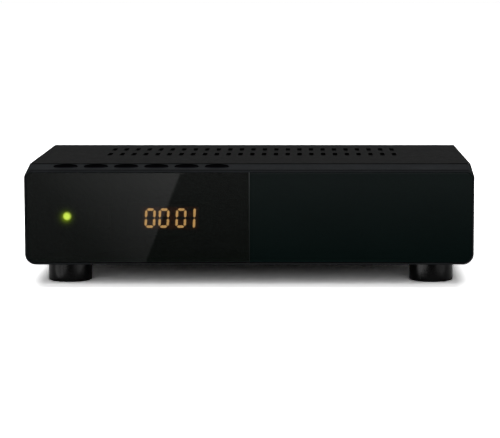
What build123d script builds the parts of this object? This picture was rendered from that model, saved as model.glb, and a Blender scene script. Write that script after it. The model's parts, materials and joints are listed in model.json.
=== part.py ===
"""Compact satellite television receiver: a sheet-metal case with a moulded front, six top keys,
a four-digit display behind a smoked window, and the boards, tuner and sockets inside it.

Millimetres, +Z up, +X to the viewer's right, the front faces -Y.
The origin is on the supporting surface, under the centre of the bounding box.
Depths are measured backwards from the front face.
"""

import os

from build123d import *

# ---------------------------------------------------------------- driving dimensions
# case
case_width = 168.0
case_depth = 103.0
case_height = 36.5  # underside of the tray to the top of the cover
sheet = 0.8  # sheet-metal thickness of cover and tray
cover_bend = 0.5
rear_lip = 7.0
tray_flange = 13.5
tray_flange_gap = 2.5  # skirt of the moulding to the flanges of the tray
hook_width = 8.0
hook_depth = 1.2
hook_xs = (-50.0, 0.0, 50.0)

# clearances
fit = 0.1  # between fixed pieces
free_gap = 0.3  # round pieces that move
screw_fit = 0.05  # radial, of a screw in the hole that holds it
screw_play = 0.2  # radial, of a screw in a hole that it passes
panel_play = 0.3  # round a socket in its panel hole
tight_round = 0.3  # smallest corner radius of an outline inside another

# feet
foot_height = 9.0
foot_diameter = 16.8
foot_edge = 0.6
foot_bore = 6.8
foot_web = 3.5
foot_side_inset = 14.5  # foot centre to the side of the case
front_foot_inset = 24.6  # foot centre to the front face
rear_foot_inset = 19.0

# vents
slot_count = 25
slot_pitch = 4.72
slot_width = 1.8
slot_length = 12.0
slot_row_pitch = 22.0
slot_rows_inset = 33.7  # middle of the two rows to the back of the case
air_slot_count = 11
air_slot_pitch = 6.0
air_slot_width = 2.4
air_slot_length = 22.0
air_slots_inset = 48.0

# front moulding
bezel_depth = 17.4  # front face to the seam with the cover
bezel_wall = 2.0
bezel_drop = 0.8  # how far the shoulder falls from the seam to the front face
seam_step = 0.25  # how far the shoulder starts below the top of the cover
bezel_rim = 0.7  # visible rim round the two front plates
bezel_corner_low = 4.2
bezel_corner_high = 3.0
bezel_edge_round = 0.6
tongue_length = 2.5  # skirt of the moulding that slides inside the cover
tongue_wall = 1.1
plate_thickness = 1.2  # smoked window and blank plate
plate_bevel = 0.2
boss_diameter = 5.0

# keys and their switches
key_names = ("power_key", "menu_key", "exit_key", "ok_key", "channel_down_key", "channel_up_key")
key_inset = 14.5  # first key to the left side of the case
key_pitch = 11.42
key_depth = 11.0
key_diameter = 8.8
key_rise = 0.33  # how far a key stands above the shoulder
key_edge = 0.25
key_flange = 10.8
key_flange_thickness = 1.0
key_flange_gap = 0.2
key_stem = 3.2
key_stem_length = 1.75
key_travel = 0.3
switch_size = 6.0
switch_body_height = 3.4
switch_height = 5.0  # board to the top of the plunger
plunger_diameter = 3.3
plunger_hidden = 0.9  # length of the plunger inside the switch body
plunger_edge = 0.2
plunger_floor_gap = 0.2  # under the pressed plunger
switch_corner = 0.5

# display, light and remote-control receiver, placed from the left side and the top of the case
display_inset = 54.7
display_drop = 19.05
display_size = (30.1, 10.0)
display_depth = 6.0
display_gap = 0.4  # window to the display body
display_play = 1.4  # round the display in its opening
display_corner = 0.4
digit_width = 4.0
digit_height = 7.3
digit_stroke = 0.9
digit_break = 0.22  # dark gap at the end of a segment
digit_slant = 0.05
digit_thickness = 0.25
digit_starts = (-9.8, -4.66, 1.73)  # left edges of the three zeros, from the display's centre
one_start = 8.27  # left edge of the one
light_inset = 15.7
light_drop = 18.5
light_diameter = 3.3
light_hole = 5.0
light_rim = 0.5
light_foot = 1.0
remote_inset = 28.0
remote_hole = 8.4
remote_width = 5.8
remote_height = 6.8
remote_body_depth = 3.4
remote_dome = 4.8

# boards
board = 1.6
board_play = 2.3  # main board to the flanges of the tray
board_front = 12.0
board_back_gap = 0.8  # main board to the rear panel
standoff_height = 5.0
standoff_diameter = 5.0
standoff_rivet = 3.6
front_standoff_depth = 38.0
front_standoff_inset = 5.0  # front standoffs to the ends of the main board
rear_standoff_inset = 10.0
key_board_front = 4.2
key_board_back = 15.0
key_board_edge = 2.8  # boss centre to the end of the board
key_boss_depth = 12.3
key_boss_gap = 3.2  # boss centre to the end of the row of keys
front_board_edge = 3.5  # boss centre to the end of the board
front_board_lift = 0.5
front_boss_lift = 3.0
front_boss_insets = (9.0, 34.0, 76.0)
link_inset = 48.0
link_pins = 10
link_pitch = 2.0
link_end = 1.0  # past the half pitch at each end of the row
link_height = 4.0
link_lift = 0.6  # socket to the plane of the main board
link_socket_depth = 4.0
link_socket_wall = 0.8
link_header_depth = 2.5
link_clear = 1.3
link_pin = 0.5
link_pin_gap = 1.2  # pin's tip to the front of the socket
key_link_length = 18.0
key_link_size = 2.5
key_link_edge = 0.3

# rear sockets, in order from the viewer's left
inlet_width, inlet_height, inlet_bore, inlet_bore_depth = 9.0, 11.0, 6.2, 9.5
inlet_axis, inlet_pin, inlet_pin_recess, inlet_pin_round = 6.4, 2.0, 0.8, 0.3
plastic_socket_depth = 14.0
scart_width, scart_height = 48.0, 15.6
scart_shell, scart_cut, scart_bore_depth = 1.8, 4.0, 10.0
scart_core_width, scart_core_height = 39.5, 7.2
scart_columns, scart_slot_pitch, scart_rows_pitch = 10, 3.81, 3.6
scart_slot_width, scart_slot_height, scart_slot_depth = 0.9, 2.6, 8.0
scart_contact_thickness, scart_contact_width, scart_contact_length = 0.5, 2.0, 6.5
video_width, video_height, video_taper, video_cut = 15.0, 5.9, 1.6, 1.9
video_tongue_width, video_tongue_thickness, video_tongue_lift = 11.2, 0.9, 0.5
data_width, data_height, data_corner = 13.1, 5.8, 0.5
data_tongue_width, data_tongue_thickness, data_tongue_lift = 11.2, 1.8, 0.9
metal_socket_depth, metal_wall = 11.0, 0.4
tongue_base, tongue_recess = 3.0, 1.0
audio_width, audio_height, audio_body_depth = 10.0, 12.6, 9.0
audio_axis, audio_ring, audio_ring_wall, audio_bore, audio_reach = 8.0, 8.3, 0.6, 3.2, 8.5
audio_ring_edge, audio_core_recess = 0.2, 0.5
audio_neck = 7.7  # the ring where it passes the rear panel
audio_neck_reach = 0.9  # rear panel to the ring's full diameter
tuner_width, tuner_length, tuner_height = 24.0, 38.0, 14.8
tuner_gap = 1.3  # can to the rear panel
tuner_wall, tuner_lid_skirt = 0.5, 2.5
tuner_partition = 15.2  # inner wall of the can to its back
antenna_axis = 8.6
antenna_reach = 9.5  # how far the antenna socket stands out behind the case
antenna_thread, antenna_pitch, antenna_groove = 9.52, 0.79, 0.35
antenna_bore, antenna_bore_depth, antenna_edge = 6.6, 8.5, 0.3
antenna_flange, antenna_flange_thickness = 12.0, 1.1
antenna_tail, antenna_tail_length = 8.0, 4.0
antenna_insulator_recess, antenna_contact_hole, antenna_contact_depth = 0.6, 1.8, 6.5
antenna_contact_bore, antenna_contact_recess = 0.9, 1.0
nut_across, nut_thickness = 12.7, 2.4
nut_clear = 0.3  # nut to the first full turn of the thread
socket_edge_gap = 1.0  # outer sockets to the ends of the board

# processor and heat sink
processor_x, processor_inset, processor_size, processor_height = 8.0, 50.0, 19.0, 1.5
processor_corner = 0.4
sink_size, sink_base, sink_height, fin_count, fin_thickness = 28.0, 2.0, 12.0, 9, 0.9

# memory chips, to the right of the processor
memory_offset = 24.0
memory_insets = (44.0, 66.0)
memory_width, memory_length, memory_height, memory_corner = 11.0, 18.4, 1.1, 0.3

# capacitors: diameter and height, and the columns beside the sockets that they stand behind
small_capacitor = (6.3, 11.0)
medium_capacitor = (8.0, 12.0)
large_capacitor = (10.0, 14.0)
capacitor_round, capacitor_crimp, capacitor_crimp_share = 0.4, 0.5, 0.15
large_column, large_insets = 3.0, (26.0, 38.0)
medium_column, medium_insets = 17.0, (26.0, 37.0)
small_columns, small_inset = (-8.0, 2.0), 22.0

# power coils
coil_diameter, coil_height, coil_rim, coil_waist = 9.0, 6.0, 1.0, 7.0
coil_column, coil_insets = -6.0, (26.0, 40.0)

# screws: diameter, length, head diameter, head height
cover_screw = (2.9, 3.5, 5.6, 1.9)
board_screw = (2.5, 5.6, 5.0, 1.8)
small_screw = (2.0, 5.6, 4.0, 1.4)
screw_bottom = 0.5  # free depth past a screw's tip in a blind hole
side_screw_depth = 30.0
side_screw_inset = 13.0
side_screw_lift = 10.0
rear_screw_inset = 18.0

# ---------------------------------------------------------------- derived places
front_y = -(case_depth + antenna_reach) / 2
side_x = case_width / 2
under_z = foot_height
top_z = under_z + case_height
tray_top = under_z + sheet
seam_top = top_z - seam_step  # top of the moulding at the seam
front_top = seam_top - bezel_drop  # top of the front face
cover_front = bezel_depth + free_gap
inner_x = side_x - sheet - fit  # outer face of what sits just inside the cover
inner_top = top_z - sheet - fit
panel_back = case_depth - sheet - fit  # outer face of the rear panel
panel_front = panel_back - sheet
rear_screw_z = top_z - sheet - rear_lip / 2
side_screw_z = under_z + side_screw_lift
side_screw_depths = (side_screw_depth, case_depth - side_screw_inset)
rear_screw_xs = (rear_screw_inset - side_x, side_x - rear_screw_inset)
foot_depths = (front_foot_inset, case_depth - rear_foot_inset)
foot_xs = (foot_side_inset - side_x, side_x - foot_side_inset)

board_low = tray_top + standoff_height
board_top = board_low + board
board_half = inner_x - sheet - board_play
board_back = panel_front - board_back_gap

bezel_back = plate_thickness + bezel_wall  # back of the front wall
key_flange_top = front_top - bezel_wall - key_flange_gap
plunger_top = key_flange_top - key_flange_thickness - key_stem_length
key_board_top = plunger_top - switch_height
key_board_low = key_board_top - board
key_xs = [key_inset - side_x + i * key_pitch for i in range(len(key_names))]
key_boss_xs = (key_xs[0] - key_pitch / 2 - key_boss_gap, key_xs[-1] + key_pitch / 2 + key_boss_gap)

display_x, display_z = display_inset - side_x, top_z - display_drop
display_face = plate_thickness + display_gap
front_board_face = display_face + display_depth
front_board_back = front_board_face + board
front_board_low = under_z + bezel_wall + front_board_lift
light_x, light_z = light_inset - side_x, top_z - light_drop
remote_x = remote_inset - side_x
front_boss_xs = [inset - side_x for inset in front_boss_insets]
front_boss_z = front_board_low + front_boss_lift
link_x = link_inset - side_x

socket_widths = {
    "inlet": inlet_width,
    "scart": scart_width,
    "video": video_width,
    "data": data_width,
    "audio": audio_width,
    "tuner": tuner_width,
}
socket_start = socket_edge_gap - board_half
socket_gap = (-2 * socket_start - sum(socket_widths.values())) / (len(socket_widths) - 1)
socket_x = {}
for socket, width in socket_widths.items():
    socket_x[socket] = socket_start + width / 2
    socket_start += width + socket_gap
inlet_z = board_top + inlet_axis
scart_z = board_top + scart_height / 2
video_z = board_top + video_height / 2
data_z = board_top + data_height / 2
audio_z = board_top + audio_axis
antenna_z = board_top + antenna_axis
tuner_back = panel_front - tuner_gap

rear_standoff_xs = (
    socket_x["inlet"] + (inlet_width + socket_gap) / 2,
    socket_x["tuner"] - (tuner_width + socket_gap) / 2,
)
front_standoff_xs = (front_standoff_inset - board_half, board_half - front_standoff_inset)
standoffs_at = [(x, front_standoff_depth) for x in front_standoff_xs]
standoffs_at += [(x, case_depth - rear_standoff_inset) for x in rear_standoff_xs]


# ---------------------------------------------------------------- helpers
def at(depth):
    """Y of a place that lies this far behind the front face."""
    return front_y + depth


def upright(depth):
    """Vertical plane across the case: x is X, y is Z, and a negative extrusion goes backwards."""
    return Plane(origin=(0, at(depth), 0), x_dir=(1, 0, 0), z_dir=(0, -1, 0))


def half_section(x, z):
    """Plane for a part turned about the front-to-back line through x, z: x is Y, y is the radius."""
    return Plane(origin=(x, 0, z), x_dir=(0, 1, 0), z_dir=(1, 0, 0))


def spanning(centre, size):
    """The span of this size about a centre."""
    return (centre - size / 2, centre + size / 2)


def block(x_span, depth_span, z_span, mode=Mode.ADD):
    """A box between two X, two depths and two heights."""
    spans = (x_span, [at(depth) for depth in depth_span], z_span)
    with Locations(tuple(sum(span) / 2 for span in spans)):
        Box(*[span[1] - span[0] for span in spans], mode=mode)


def rounded_outline(half, low, high, corner_low, corner_high):
    """A rectangle with one radius on its lower corners and one on its upper corners."""
    with Locations((0, (low + high) / 2)):
        Rectangle(2 * half, high - low)
    fillet(vertices().group_by(Axis.Y)[0], corner_low)
    fillet(vertices().group_by(Axis.Y)[-1], corner_high)


def inner_round(outer, inset):
    """Corner radius of an outline that runs this far inside another."""
    return max(outer - inset, tight_round)


def shoulder(depth):
    """Height of the moulding's sloping shoulder."""
    return front_top + bezel_drop * depth / bezel_depth


def pan_screw(diameter, length, head, head_height):
    """A cross-recess pan-head screw along Z: its head stands on Z = 0 and its shank hangs below."""
    crown = (head * 0.36, head_height * 0.87)
    rim = (head / 2, head_height * 0.45)
    tip_radius, tip_length = diameter * 0.32, diameter * 0.25
    cross_long, cross_short, cross_floor = head * 0.55, head * 0.15, head_height * 0.4
    with BuildPart() as screw:
        with BuildSketch(Plane.XZ):
            with BuildLine():
                Polyline(
                    crown,
                    (0, head_height),
                    (0, -length),
                    (tip_radius, -length),
                    (diameter / 2, tip_length - length),
                    (diameter / 2, 0),
                    (head / 2, 0),
                    rim,
                    close=True,
                )
            make_face()
        revolve(axis=Axis.Z)
        with BuildSketch(Plane.XY.offset(cross_floor)):
            Rectangle(cross_long, cross_short)
            Rectangle(cross_short, cross_long)
        extrude(amount=head_height, mode=Mode.SUBTRACT)
    return screw.part


def capacitor(diameter, height):
    """An upright electrolytic capacitor on Z = 0, with the crimp near its foot."""
    with BuildPart() as made:
        Cylinder(diameter / 2, height, align=(Align.CENTER, Align.CENTER, Align.MIN))
        fillet(made.edges().group_by(Axis.Z)[-1], capacitor_round)
        with BuildSketch(Plane.XZ):
            with Locations((diameter / 2, height * capacitor_crimp_share)):
                Circle(capacitor_crimp)
        revolve(axis=Axis.Z, mode=Mode.SUBTRACT)
    return made.part


cover_screw_made = pan_screw(*cover_screw)
board_screw_made = pan_screw(*board_screw)
small_screw_made = pan_screw(*small_screw)
cover_screw_radius = cover_screw[0] / 2
board_screw_radius = board_screw[0] / 2
small_screw_radius = small_screw[0] / 2

os.makedirs("parts", exist_ok=True)

# ---------------------------------------------------------------- top cover
with BuildPart() as top_cover:
    with BuildSketch(upright(cover_front)):
        with Locations((0, (under_z + top_z) / 2)):
            Rectangle(case_width, case_height)
        fillet(vertices().group_by(Axis.Y)[-1], cover_bend)
        with Locations((0, (under_z + top_z - sheet) / 2)):
            Rectangle(case_width - 2 * sheet, case_height - sheet, mode=Mode.SUBTRACT)
    extrude(amount=-(case_depth - cover_front))
    # rear lip
    block(
        (sheet - side_x, side_x - sheet),
        (case_depth - sheet, case_depth),
        (top_z - sheet - rear_lip, top_z - sheet),
    )
    # vents
    with BuildSketch(Plane.XY.offset(top_z)):
        with Locations((0, at(case_depth - slot_rows_inset))):
            with GridLocations(slot_pitch, slot_row_pitch, slot_count, 2):
                SlotOverall(slot_length, slot_width, rotation=90)
    extrude(amount=-sheet, mode=Mode.SUBTRACT)
    # screw holes
    with BuildSketch(Plane.YZ.offset(-side_x)):
        with Locations(*[(at(depth), side_screw_z) for depth in side_screw_depths]):
            Circle(cover_screw_radius + screw_play)
    extrude(amount=case_width, mode=Mode.SUBTRACT)
    with BuildSketch(upright(case_depth - sheet)):
        with Locations(*[(x, rear_screw_z) for x in rear_screw_xs]):
            Circle(cover_screw_radius + screw_play)
    extrude(amount=-sheet, mode=Mode.SUBTRACT)
top_cover.part.label = "top_cover"
export_step(top_cover.part, "parts/top_cover.step")

# ---------------------------------------------------------------- chassis tray with the rear panel
with BuildPart() as chassis_tray:
    block((-inner_x, inner_x), (cover_front, panel_back), (under_z, tray_top))
    for outside in (-1, 1):
        block(
            sorted((outside * inner_x, outside * (inner_x - sheet))),
            (bezel_depth + tongue_length + tray_flange_gap, panel_front),
            (tray_top, under_z + tray_flange),
        )
    block((-inner_x, inner_x), (panel_front, panel_back), (tray_top, inner_top))
    # holes that hold the cover screws
    with BuildSketch(Plane.YZ.offset(-side_x)):
        with Locations(*[(at(depth), side_screw_z) for depth in side_screw_depths]):
            Circle(cover_screw_radius + screw_fit)
    extrude(amount=case_width, mode=Mode.SUBTRACT)
    with BuildSketch(upright(panel_front)):
        with Locations(*[(x, rear_screw_z) for x in rear_screw_xs]):
            Circle(cover_screw_radius + screw_fit)
        # socket holes
        with Locations((socket_x["inlet"], board_top + inlet_height / 2)):
            Rectangle(inlet_width + 2 * panel_play, inlet_height + 2 * panel_play)
        with Locations((socket_x["scart"], scart_z)):
            Rectangle(scart_width + 2 * panel_play, scart_height + 2 * panel_play)
        with Locations((socket_x["video"], video_z)):
            Rectangle(video_width + 2 * panel_play, video_height + 2 * panel_play)
        with Locations((socket_x["data"], data_z)):
            Rectangle(data_width + 2 * panel_play, data_height + 2 * panel_play)
        with Locations((socket_x["audio"], audio_z)):
            Circle(audio_ring / 2 + panel_play)
        with Locations((socket_x["tuner"], antenna_z)):
            Circle(antenna_thread / 2 + panel_play)
    extrude(amount=-sheet, mode=Mode.SUBTRACT)
    # holes in the floor: foot screws, standoff rivets, hooks of the moulding, air slots
    with BuildSketch(Plane.XY.offset(under_z)):
        with Locations(*[(x, at(depth)) for x in foot_xs for depth in foot_depths]):
            Circle(cover_screw_radius + screw_fit)
        with Locations(*[(x, at(depth)) for x, depth in standoffs_at]):
            Circle(standoff_rivet / 2 + screw_fit)
        with Locations(*[(x, at(cover_front + sheet + hook_depth / 2)) for x in hook_xs]):
            Rectangle(hook_width + 2 * fit, hook_depth + 2 * fit)
        with Locations((0, at(case_depth - air_slots_inset))):
            with GridLocations(air_slot_pitch, 0, air_slot_count, 1):
                SlotOverall(air_slot_length, air_slot_width, rotation=90)
    extrude(amount=sheet, mode=Mode.SUBTRACT)
chassis_tray.part.label = "chassis_tray"
export_step(chassis_tray.part, "parts/chassis_tray.step")

# ---------------------------------------------------------------- front moulding
with BuildPart() as front_moulding:
    with BuildSketch(upright(bezel_depth)):
        rounded_outline(side_x, under_z, seam_top, cover_bend, cover_bend)
    with BuildSketch(upright(0)):
        rounded_outline(side_x, under_z, front_top, bezel_corner_low, bezel_corner_high)
    loft(ruled=True)
    fillet(faces().sort_by(Axis.Y)[0].edges(), bezel_edge_round)
    # cavity behind the front wall
    with BuildSketch(upright(bezel_depth)):
        rounded_outline(
            side_x - bezel_wall, under_z + bezel_wall, seam_top - bezel_wall, cover_bend, cover_bend
        )
    with BuildSketch(upright(bezel_back)):
        rounded_outline(
            side_x - bezel_wall,
            under_z + bezel_wall,
            front_top - bezel_wall,
            inner_round(bezel_corner_low, bezel_wall),
            inner_round(bezel_corner_high, bezel_wall),
        )
    loft(ruled=True, mode=Mode.SUBTRACT)
    # skirt inside the cover, with three hooks into the floor of the tray
    with BuildSketch(upright(bezel_depth)):
        with Locations((0, (tray_top + fit + inner_top) / 2)):
            Rectangle(2 * inner_x, inner_top - tray_top - fit)
        with Locations((0, (tray_top + fit + inner_top) / 2)):
            Rectangle(
                2 * (inner_x - tongue_wall),
                inner_top - tray_top - fit - 2 * tongue_wall,
                mode=Mode.SUBTRACT,
            )
    extrude(amount=-tongue_length)
    for x in hook_xs:
        block(
            spanning(x, hook_width),
            spanning(cover_front + sheet + hook_depth / 2, hook_depth),
            (under_z + fit, tray_top + fit + tongue_wall),
        )
    # bosses for the key board and the front board
    with BuildSketch(Plane.XY.offset(key_board_top)):
        with Locations(*[(x, at(key_boss_depth)) for x in key_boss_xs]):
            Circle(boss_diameter / 2)
    extrude(until=Until.NEXT)
    with BuildSketch(upright(front_board_face)):
        with Locations(*[(x, front_boss_z) for x in front_boss_xs]):
            Circle(boss_diameter / 2)
    extrude(amount=front_board_face - bezel_back)
    with BuildSketch(Plane.XY.offset(key_board_top)):
        with Locations(*[(x, at(key_boss_depth)) for x in key_boss_xs]):
            Circle(small_screw_radius + screw_fit)
    extrude(amount=small_screw[1] - board + screw_bottom, mode=Mode.SUBTRACT)
    with BuildSketch(upright(front_board_face)):
        with Locations(*[(x, front_boss_z) for x in front_boss_xs]):
            Circle(small_screw_radius + screw_fit)
    extrude(amount=small_screw[1] - board + screw_bottom, mode=Mode.SUBTRACT)
    # pocket for the two front plates
    with BuildSketch(upright(0)):
        rounded_outline(
            side_x - bezel_rim,
            under_z + bezel_rim,
            front_top - bezel_rim,
            inner_round(bezel_corner_low, bezel_rim),
            inner_round(bezel_corner_high, bezel_rim),
        )
    extrude(amount=-plate_thickness, mode=Mode.SUBTRACT)
    # openings behind the window
    with BuildSketch(upright(plate_thickness)):
        with Locations((display_x, display_z)):
            Rectangle(display_size[0] + 2 * display_play, display_size[1] + 2 * display_play)
        with Locations((light_x, light_z)):
            Circle(light_hole / 2)
        with Locations((remote_x, light_z)):
            Rectangle(remote_hole, remote_hole)
    extrude(amount=-bezel_wall, mode=Mode.SUBTRACT)
    # round openings for the keys
    with BuildSketch(Plane.XY.offset(seam_top)):
        with Locations(*[(x, at(key_depth)) for x in key_xs]):
            Circle(key_diameter / 2 + free_gap)
    extrude(amount=-(bezel_drop + bezel_wall), mode=Mode.SUBTRACT)
front_moulding.part.label = "front_moulding"
export_step(front_moulding.part, "parts/front_moulding.step")

# ---------------------------------------------------------------- window and blank plate


def plate_outline(outside):
    """Outline of one front plate: the left one when outside is -1, the right one when it is 1."""
    low, high = under_z + bezel_rim + fit, front_top - bezel_rim - fit
    half = side_x - bezel_rim - fit
    rounded_outline(
        half,
        low,
        high,
        inner_round(bezel_corner_low, bezel_rim + fit),
        inner_round(bezel_corner_high, bezel_rim + fit),
    )
    with Locations((outside * (half + fit) / 2, (low + high) / 2)):
        Rectangle(half - fit, high - low, mode=Mode.INTERSECT)


with BuildPart() as display_window:
    with BuildSketch(upright(0)):
        plate_outline(-1)
    extrude(amount=-plate_thickness)
    chamfer(faces().sort_by(Axis.Y)[0].edges(), plate_bevel)
display_window.part.label = "display_window"
export_step(display_window.part, "parts/display_window.step")

with BuildPart() as blank_plate:
    with BuildSketch(upright(0)):
        plate_outline(1)
    extrude(amount=-plate_thickness)
    chamfer(faces().sort_by(Axis.Y)[0].edges(), plate_bevel)
blank_plate.part.label = "blank_plate"
export_step(blank_plate.part, "parts/blank_plate.step")

# ---------------------------------------------------------------- feet
foot_names = {
    "foot_front_left": (foot_xs[0], foot_depths[0]),
    "foot_front_right": (foot_xs[1], foot_depths[0]),
    "foot_rear_left": (foot_xs[0], foot_depths[1]),
    "foot_rear_right": (foot_xs[1], foot_depths[1]),
}
for name, (x, depth) in foot_names.items():
    with BuildPart() as foot:
        with BuildSketch(Plane.XY):
            with Locations((x, at(depth))):
                Circle(foot_diameter / 2)
        extrude(amount=foot_height)
        fillet(edges().group_by(Axis.Z)[0], foot_edge)
        with BuildSketch(Plane.XY):
            with Locations((x, at(depth))):
                Circle(foot_bore / 2)
        extrude(amount=foot_height - foot_web, mode=Mode.SUBTRACT)
        with BuildSketch(Plane.XY):
            with Locations((x, at(depth))):
                Circle(cover_screw_radius + screw_play)
        extrude(amount=foot_height, mode=Mode.SUBTRACT)
    foot.part.label = name
    export_step(foot.part, f"parts/{name}.step")

foot_screw_made = pan_screw(cover_screw[0], foot_web + 3 * sheet, cover_screw[2], cover_screw[3])
with BuildPart() as foot_screws:
    with Locations(*[
        Location((x, at(depth), foot_height - foot_web), (180, 0, 0)) for x, depth in foot_names.values()
    ]):
        add(foot_screw_made)
foot_screws.part.label = "foot_screws"
export_step(foot_screws.part, "parts/foot_screws.step")

# ---------------------------------------------------------------- cover screws
with BuildPart() as cover_side_screws:
    with Locations(*[
        Location((outside * side_x, at(depth), side_screw_z), (0, outside * 90, 0))
        for outside in (-1, 1)
        for depth in side_screw_depths
    ]):
        add(cover_screw_made)
cover_side_screws.part.label = "cover_side_screws"
export_step(cover_side_screws.part, "parts/cover_side_screws.step")

with BuildPart() as cover_rear_screws:
    with Locations(*[Location((x, at(case_depth), rear_screw_z), (-90, 0, 0)) for x in rear_screw_xs]):
        add(cover_screw_made)
cover_rear_screws.part.label = "cover_rear_screws"
export_step(cover_rear_screws.part, "parts/cover_rear_screws.step")

# ---------------------------------------------------------------- main board and what holds it
with BuildPart() as main_board:
    with BuildSketch(Plane.XY.offset(board_low)):
        with Locations((0, at((board_front + board_back) / 2))):
            Rectangle(2 * board_half, board_back - board_front)
        with Locations(*[(x, at(depth)) for x, depth in standoffs_at]):
            Circle(board_screw_radius + screw_play, mode=Mode.SUBTRACT)
    extrude(amount=board)
main_board.part.label = "main_board"
export_step(main_board.part, "parts/main_board.step")

with BuildPart() as standoffs:
    with BuildSketch(Plane.XY.offset(tray_top)):
        with Locations(*[(x, at(depth)) for x, depth in standoffs_at]):
            Circle(standoff_diameter / 2)
    extrude(amount=standoff_height)
    with BuildSketch(Plane.XY.offset(under_z)):
        with Locations(*[(x, at(depth)) for x, depth in standoffs_at]):
            Circle(standoff_rivet / 2)
    extrude(amount=sheet)
    with BuildSketch(Plane.XY.offset(board_low)):
        with Locations(*[(x, at(depth)) for x, depth in standoffs_at]):
            Circle(board_screw_radius + screw_fit)
    extrude(amount=-(board_screw[1] - board + screw_bottom), mode=Mode.SUBTRACT)
standoffs.part.label = "standoffs"
export_step(standoffs.part, "parts/standoffs.step")

with BuildPart() as board_screws:
    with Locations(*[(x, at(depth), board_top) for x, depth in standoffs_at]):
        add(board_screw_made)
board_screws.part.label = "board_screws"
export_step(board_screws.part, "parts/board_screws.step")

# ---------------------------------------------------------------- front board and key board
with BuildPart() as front_board:
    with BuildSketch(upright(front_board_face)):
        with Locations(((front_boss_xs[0] + front_boss_xs[-1]) / 2, (front_board_low + key_board_low) / 2)):
            Rectangle(
                front_boss_xs[-1] - front_boss_xs[0] + 2 * front_board_edge,
                key_board_low - front_board_low,
            )
        with Locations(*[(x, front_boss_z) for x in front_boss_xs]):
            Circle(small_screw_radius + screw_play, mode=Mode.SUBTRACT)
    extrude(amount=-board)
front_board.part.label = "front_board"
export_step(front_board.part, "parts/front_board.step")

with BuildPart() as front_board_screws:
    with Locations(*[
        Location((x, at(front_board_back), front_boss_z), (-90, 0, 0)) for x in front_boss_xs
    ]):
        add(small_screw_made)
front_board_screws.part.label = "front_board_screws"
export_step(front_board_screws.part, "parts/front_board_screws.step")

with BuildPart() as key_board:
    with BuildSketch(Plane.XY.offset(key_board_low)):
        with Locations((sum(key_boss_xs) / 2, at((key_board_front + key_board_back) / 2))):
            Rectangle(
                key_boss_xs[1] - key_boss_xs[0] + 2 * key_board_edge,
                key_board_back - key_board_front,
            )
        with Locations(*[(x, at(key_boss_depth)) for x in key_boss_xs]):
            Circle(small_screw_radius + screw_play, mode=Mode.SUBTRACT)
    extrude(amount=board)
key_board.part.label = "key_board"
export_step(key_board.part, "parts/key_board.step")

with BuildPart() as key_board_screws:
    with Locations(*[Location((x, at(key_boss_depth), key_board_low), (180, 0, 0)) for x in key_boss_xs]):
        add(small_screw_made)
key_board_screws.part.label = "key_board_screws"
export_step(key_board_screws.part, "parts/key_board_screws.step")

with BuildPart() as key_link_header:
    block(
        spanning(link_x, key_link_length),
        (front_board_back, front_board_back + key_link_size),
        (key_board_low - key_link_size, key_board_low),
    )
    chamfer(edges().filter_by(Axis.X), key_link_edge)
key_link_header.part.label = "key_link_header"
export_step(key_link_header.part, "parts/key_link_header.step")

# ---------------------------------------------------------------- keys and switches
plunger_low = key_board_top + switch_body_height - plunger_hidden

for name, x in zip(key_names, key_xs):
    cap_plane = Plane(
        origin=(x, at(key_depth), shoulder(key_depth) + key_rise), z_dir=(0, -bezel_drop, bezel_depth)
    )
    with BuildPart() as key:
        with BuildSketch(Plane.XY.offset(key_flange_top)):
            with Locations((x, at(key_depth))):
                Circle(key_diameter / 2)
        extrude(amount=top_z + key_rise - key_flange_top)
        split(bisect_by=cap_plane, keep=Keep.BOTTOM)
        fillet(edges().group_by(Axis.Z)[-1], key_edge)
        with BuildSketch(Plane.XY.offset(key_flange_top)):
            with Locations((x, at(key_depth))):
                Circle(key_flange / 2)
        extrude(amount=-key_flange_thickness)
        with BuildSketch(Plane.XY.offset(plunger_top)):
            with Locations((x, at(key_depth))):
                Circle(key_stem / 2)
        extrude(amount=key_stem_length)
    key.part.label = name
    export_step(key.part, f"parts/{name}.step")

    with BuildPart() as plunger:
        with BuildSketch(Plane.XY.offset(plunger_low)):
            with Locations((x, at(key_depth))):
                Circle(plunger_diameter / 2)
        extrude(amount=plunger_top - plunger_low)
        chamfer(edges().group_by(Axis.Z)[-1], plunger_edge)
    plunger.part.label = name.replace("key", "plunger")
    export_step(plunger.part, f"parts/{plunger.part.label}.step")

with BuildPart() as switch_bodies:
    with BuildSketch(Plane.XY.offset(key_board_top)):
        with Locations(*[(x, at(key_depth)) for x in key_xs]):
            Rectangle(switch_size, switch_size)
    extrude(amount=switch_body_height)
    chamfer(edges().filter_by(Axis.Z), switch_corner)
    with BuildSketch(Plane.XY.offset(key_board_top + switch_body_height)):
        with Locations(*[(x, at(key_depth)) for x in key_xs]):
            Circle(plunger_diameter / 2 + free_gap)
    extrude(amount=-(plunger_hidden + key_travel + plunger_floor_gap), mode=Mode.SUBTRACT)
switch_bodies.part.label = "switch_bodies"
export_step(switch_bodies.part, "parts/switch_bodies.step")

# ---------------------------------------------------------------- display
with BuildPart() as display_module:
    block(
        spanning(display_x, display_size[0]),
        (display_face, front_board_face),
        spanning(display_z, display_size[1]),
    )
    chamfer(edges().filter_by(Axis.Y), display_corner)
display_module.part.label = "display_module"
export_step(display_module.part, "parts/display_module.step")


def slanted(points):
    """Points of a digit, measured from the display's centre, leant over to the right."""
    return [(display_x + x + digit_slant * z, display_z + z) for x, z in points]


def flat_bar(left, middle):
    """The top or bottom segment of a digit, with pointed ends."""
    half = digit_stroke / 2
    start, end = left + half + digit_break, left + digit_width - half - digit_break
    Polygon(*slanted([
        (start, middle),
        (start + half, middle + half),
        (end - half, middle + half),
        (end, middle),
        (end - half, middle - half),
        (start + half, middle - half),
    ]))


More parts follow.
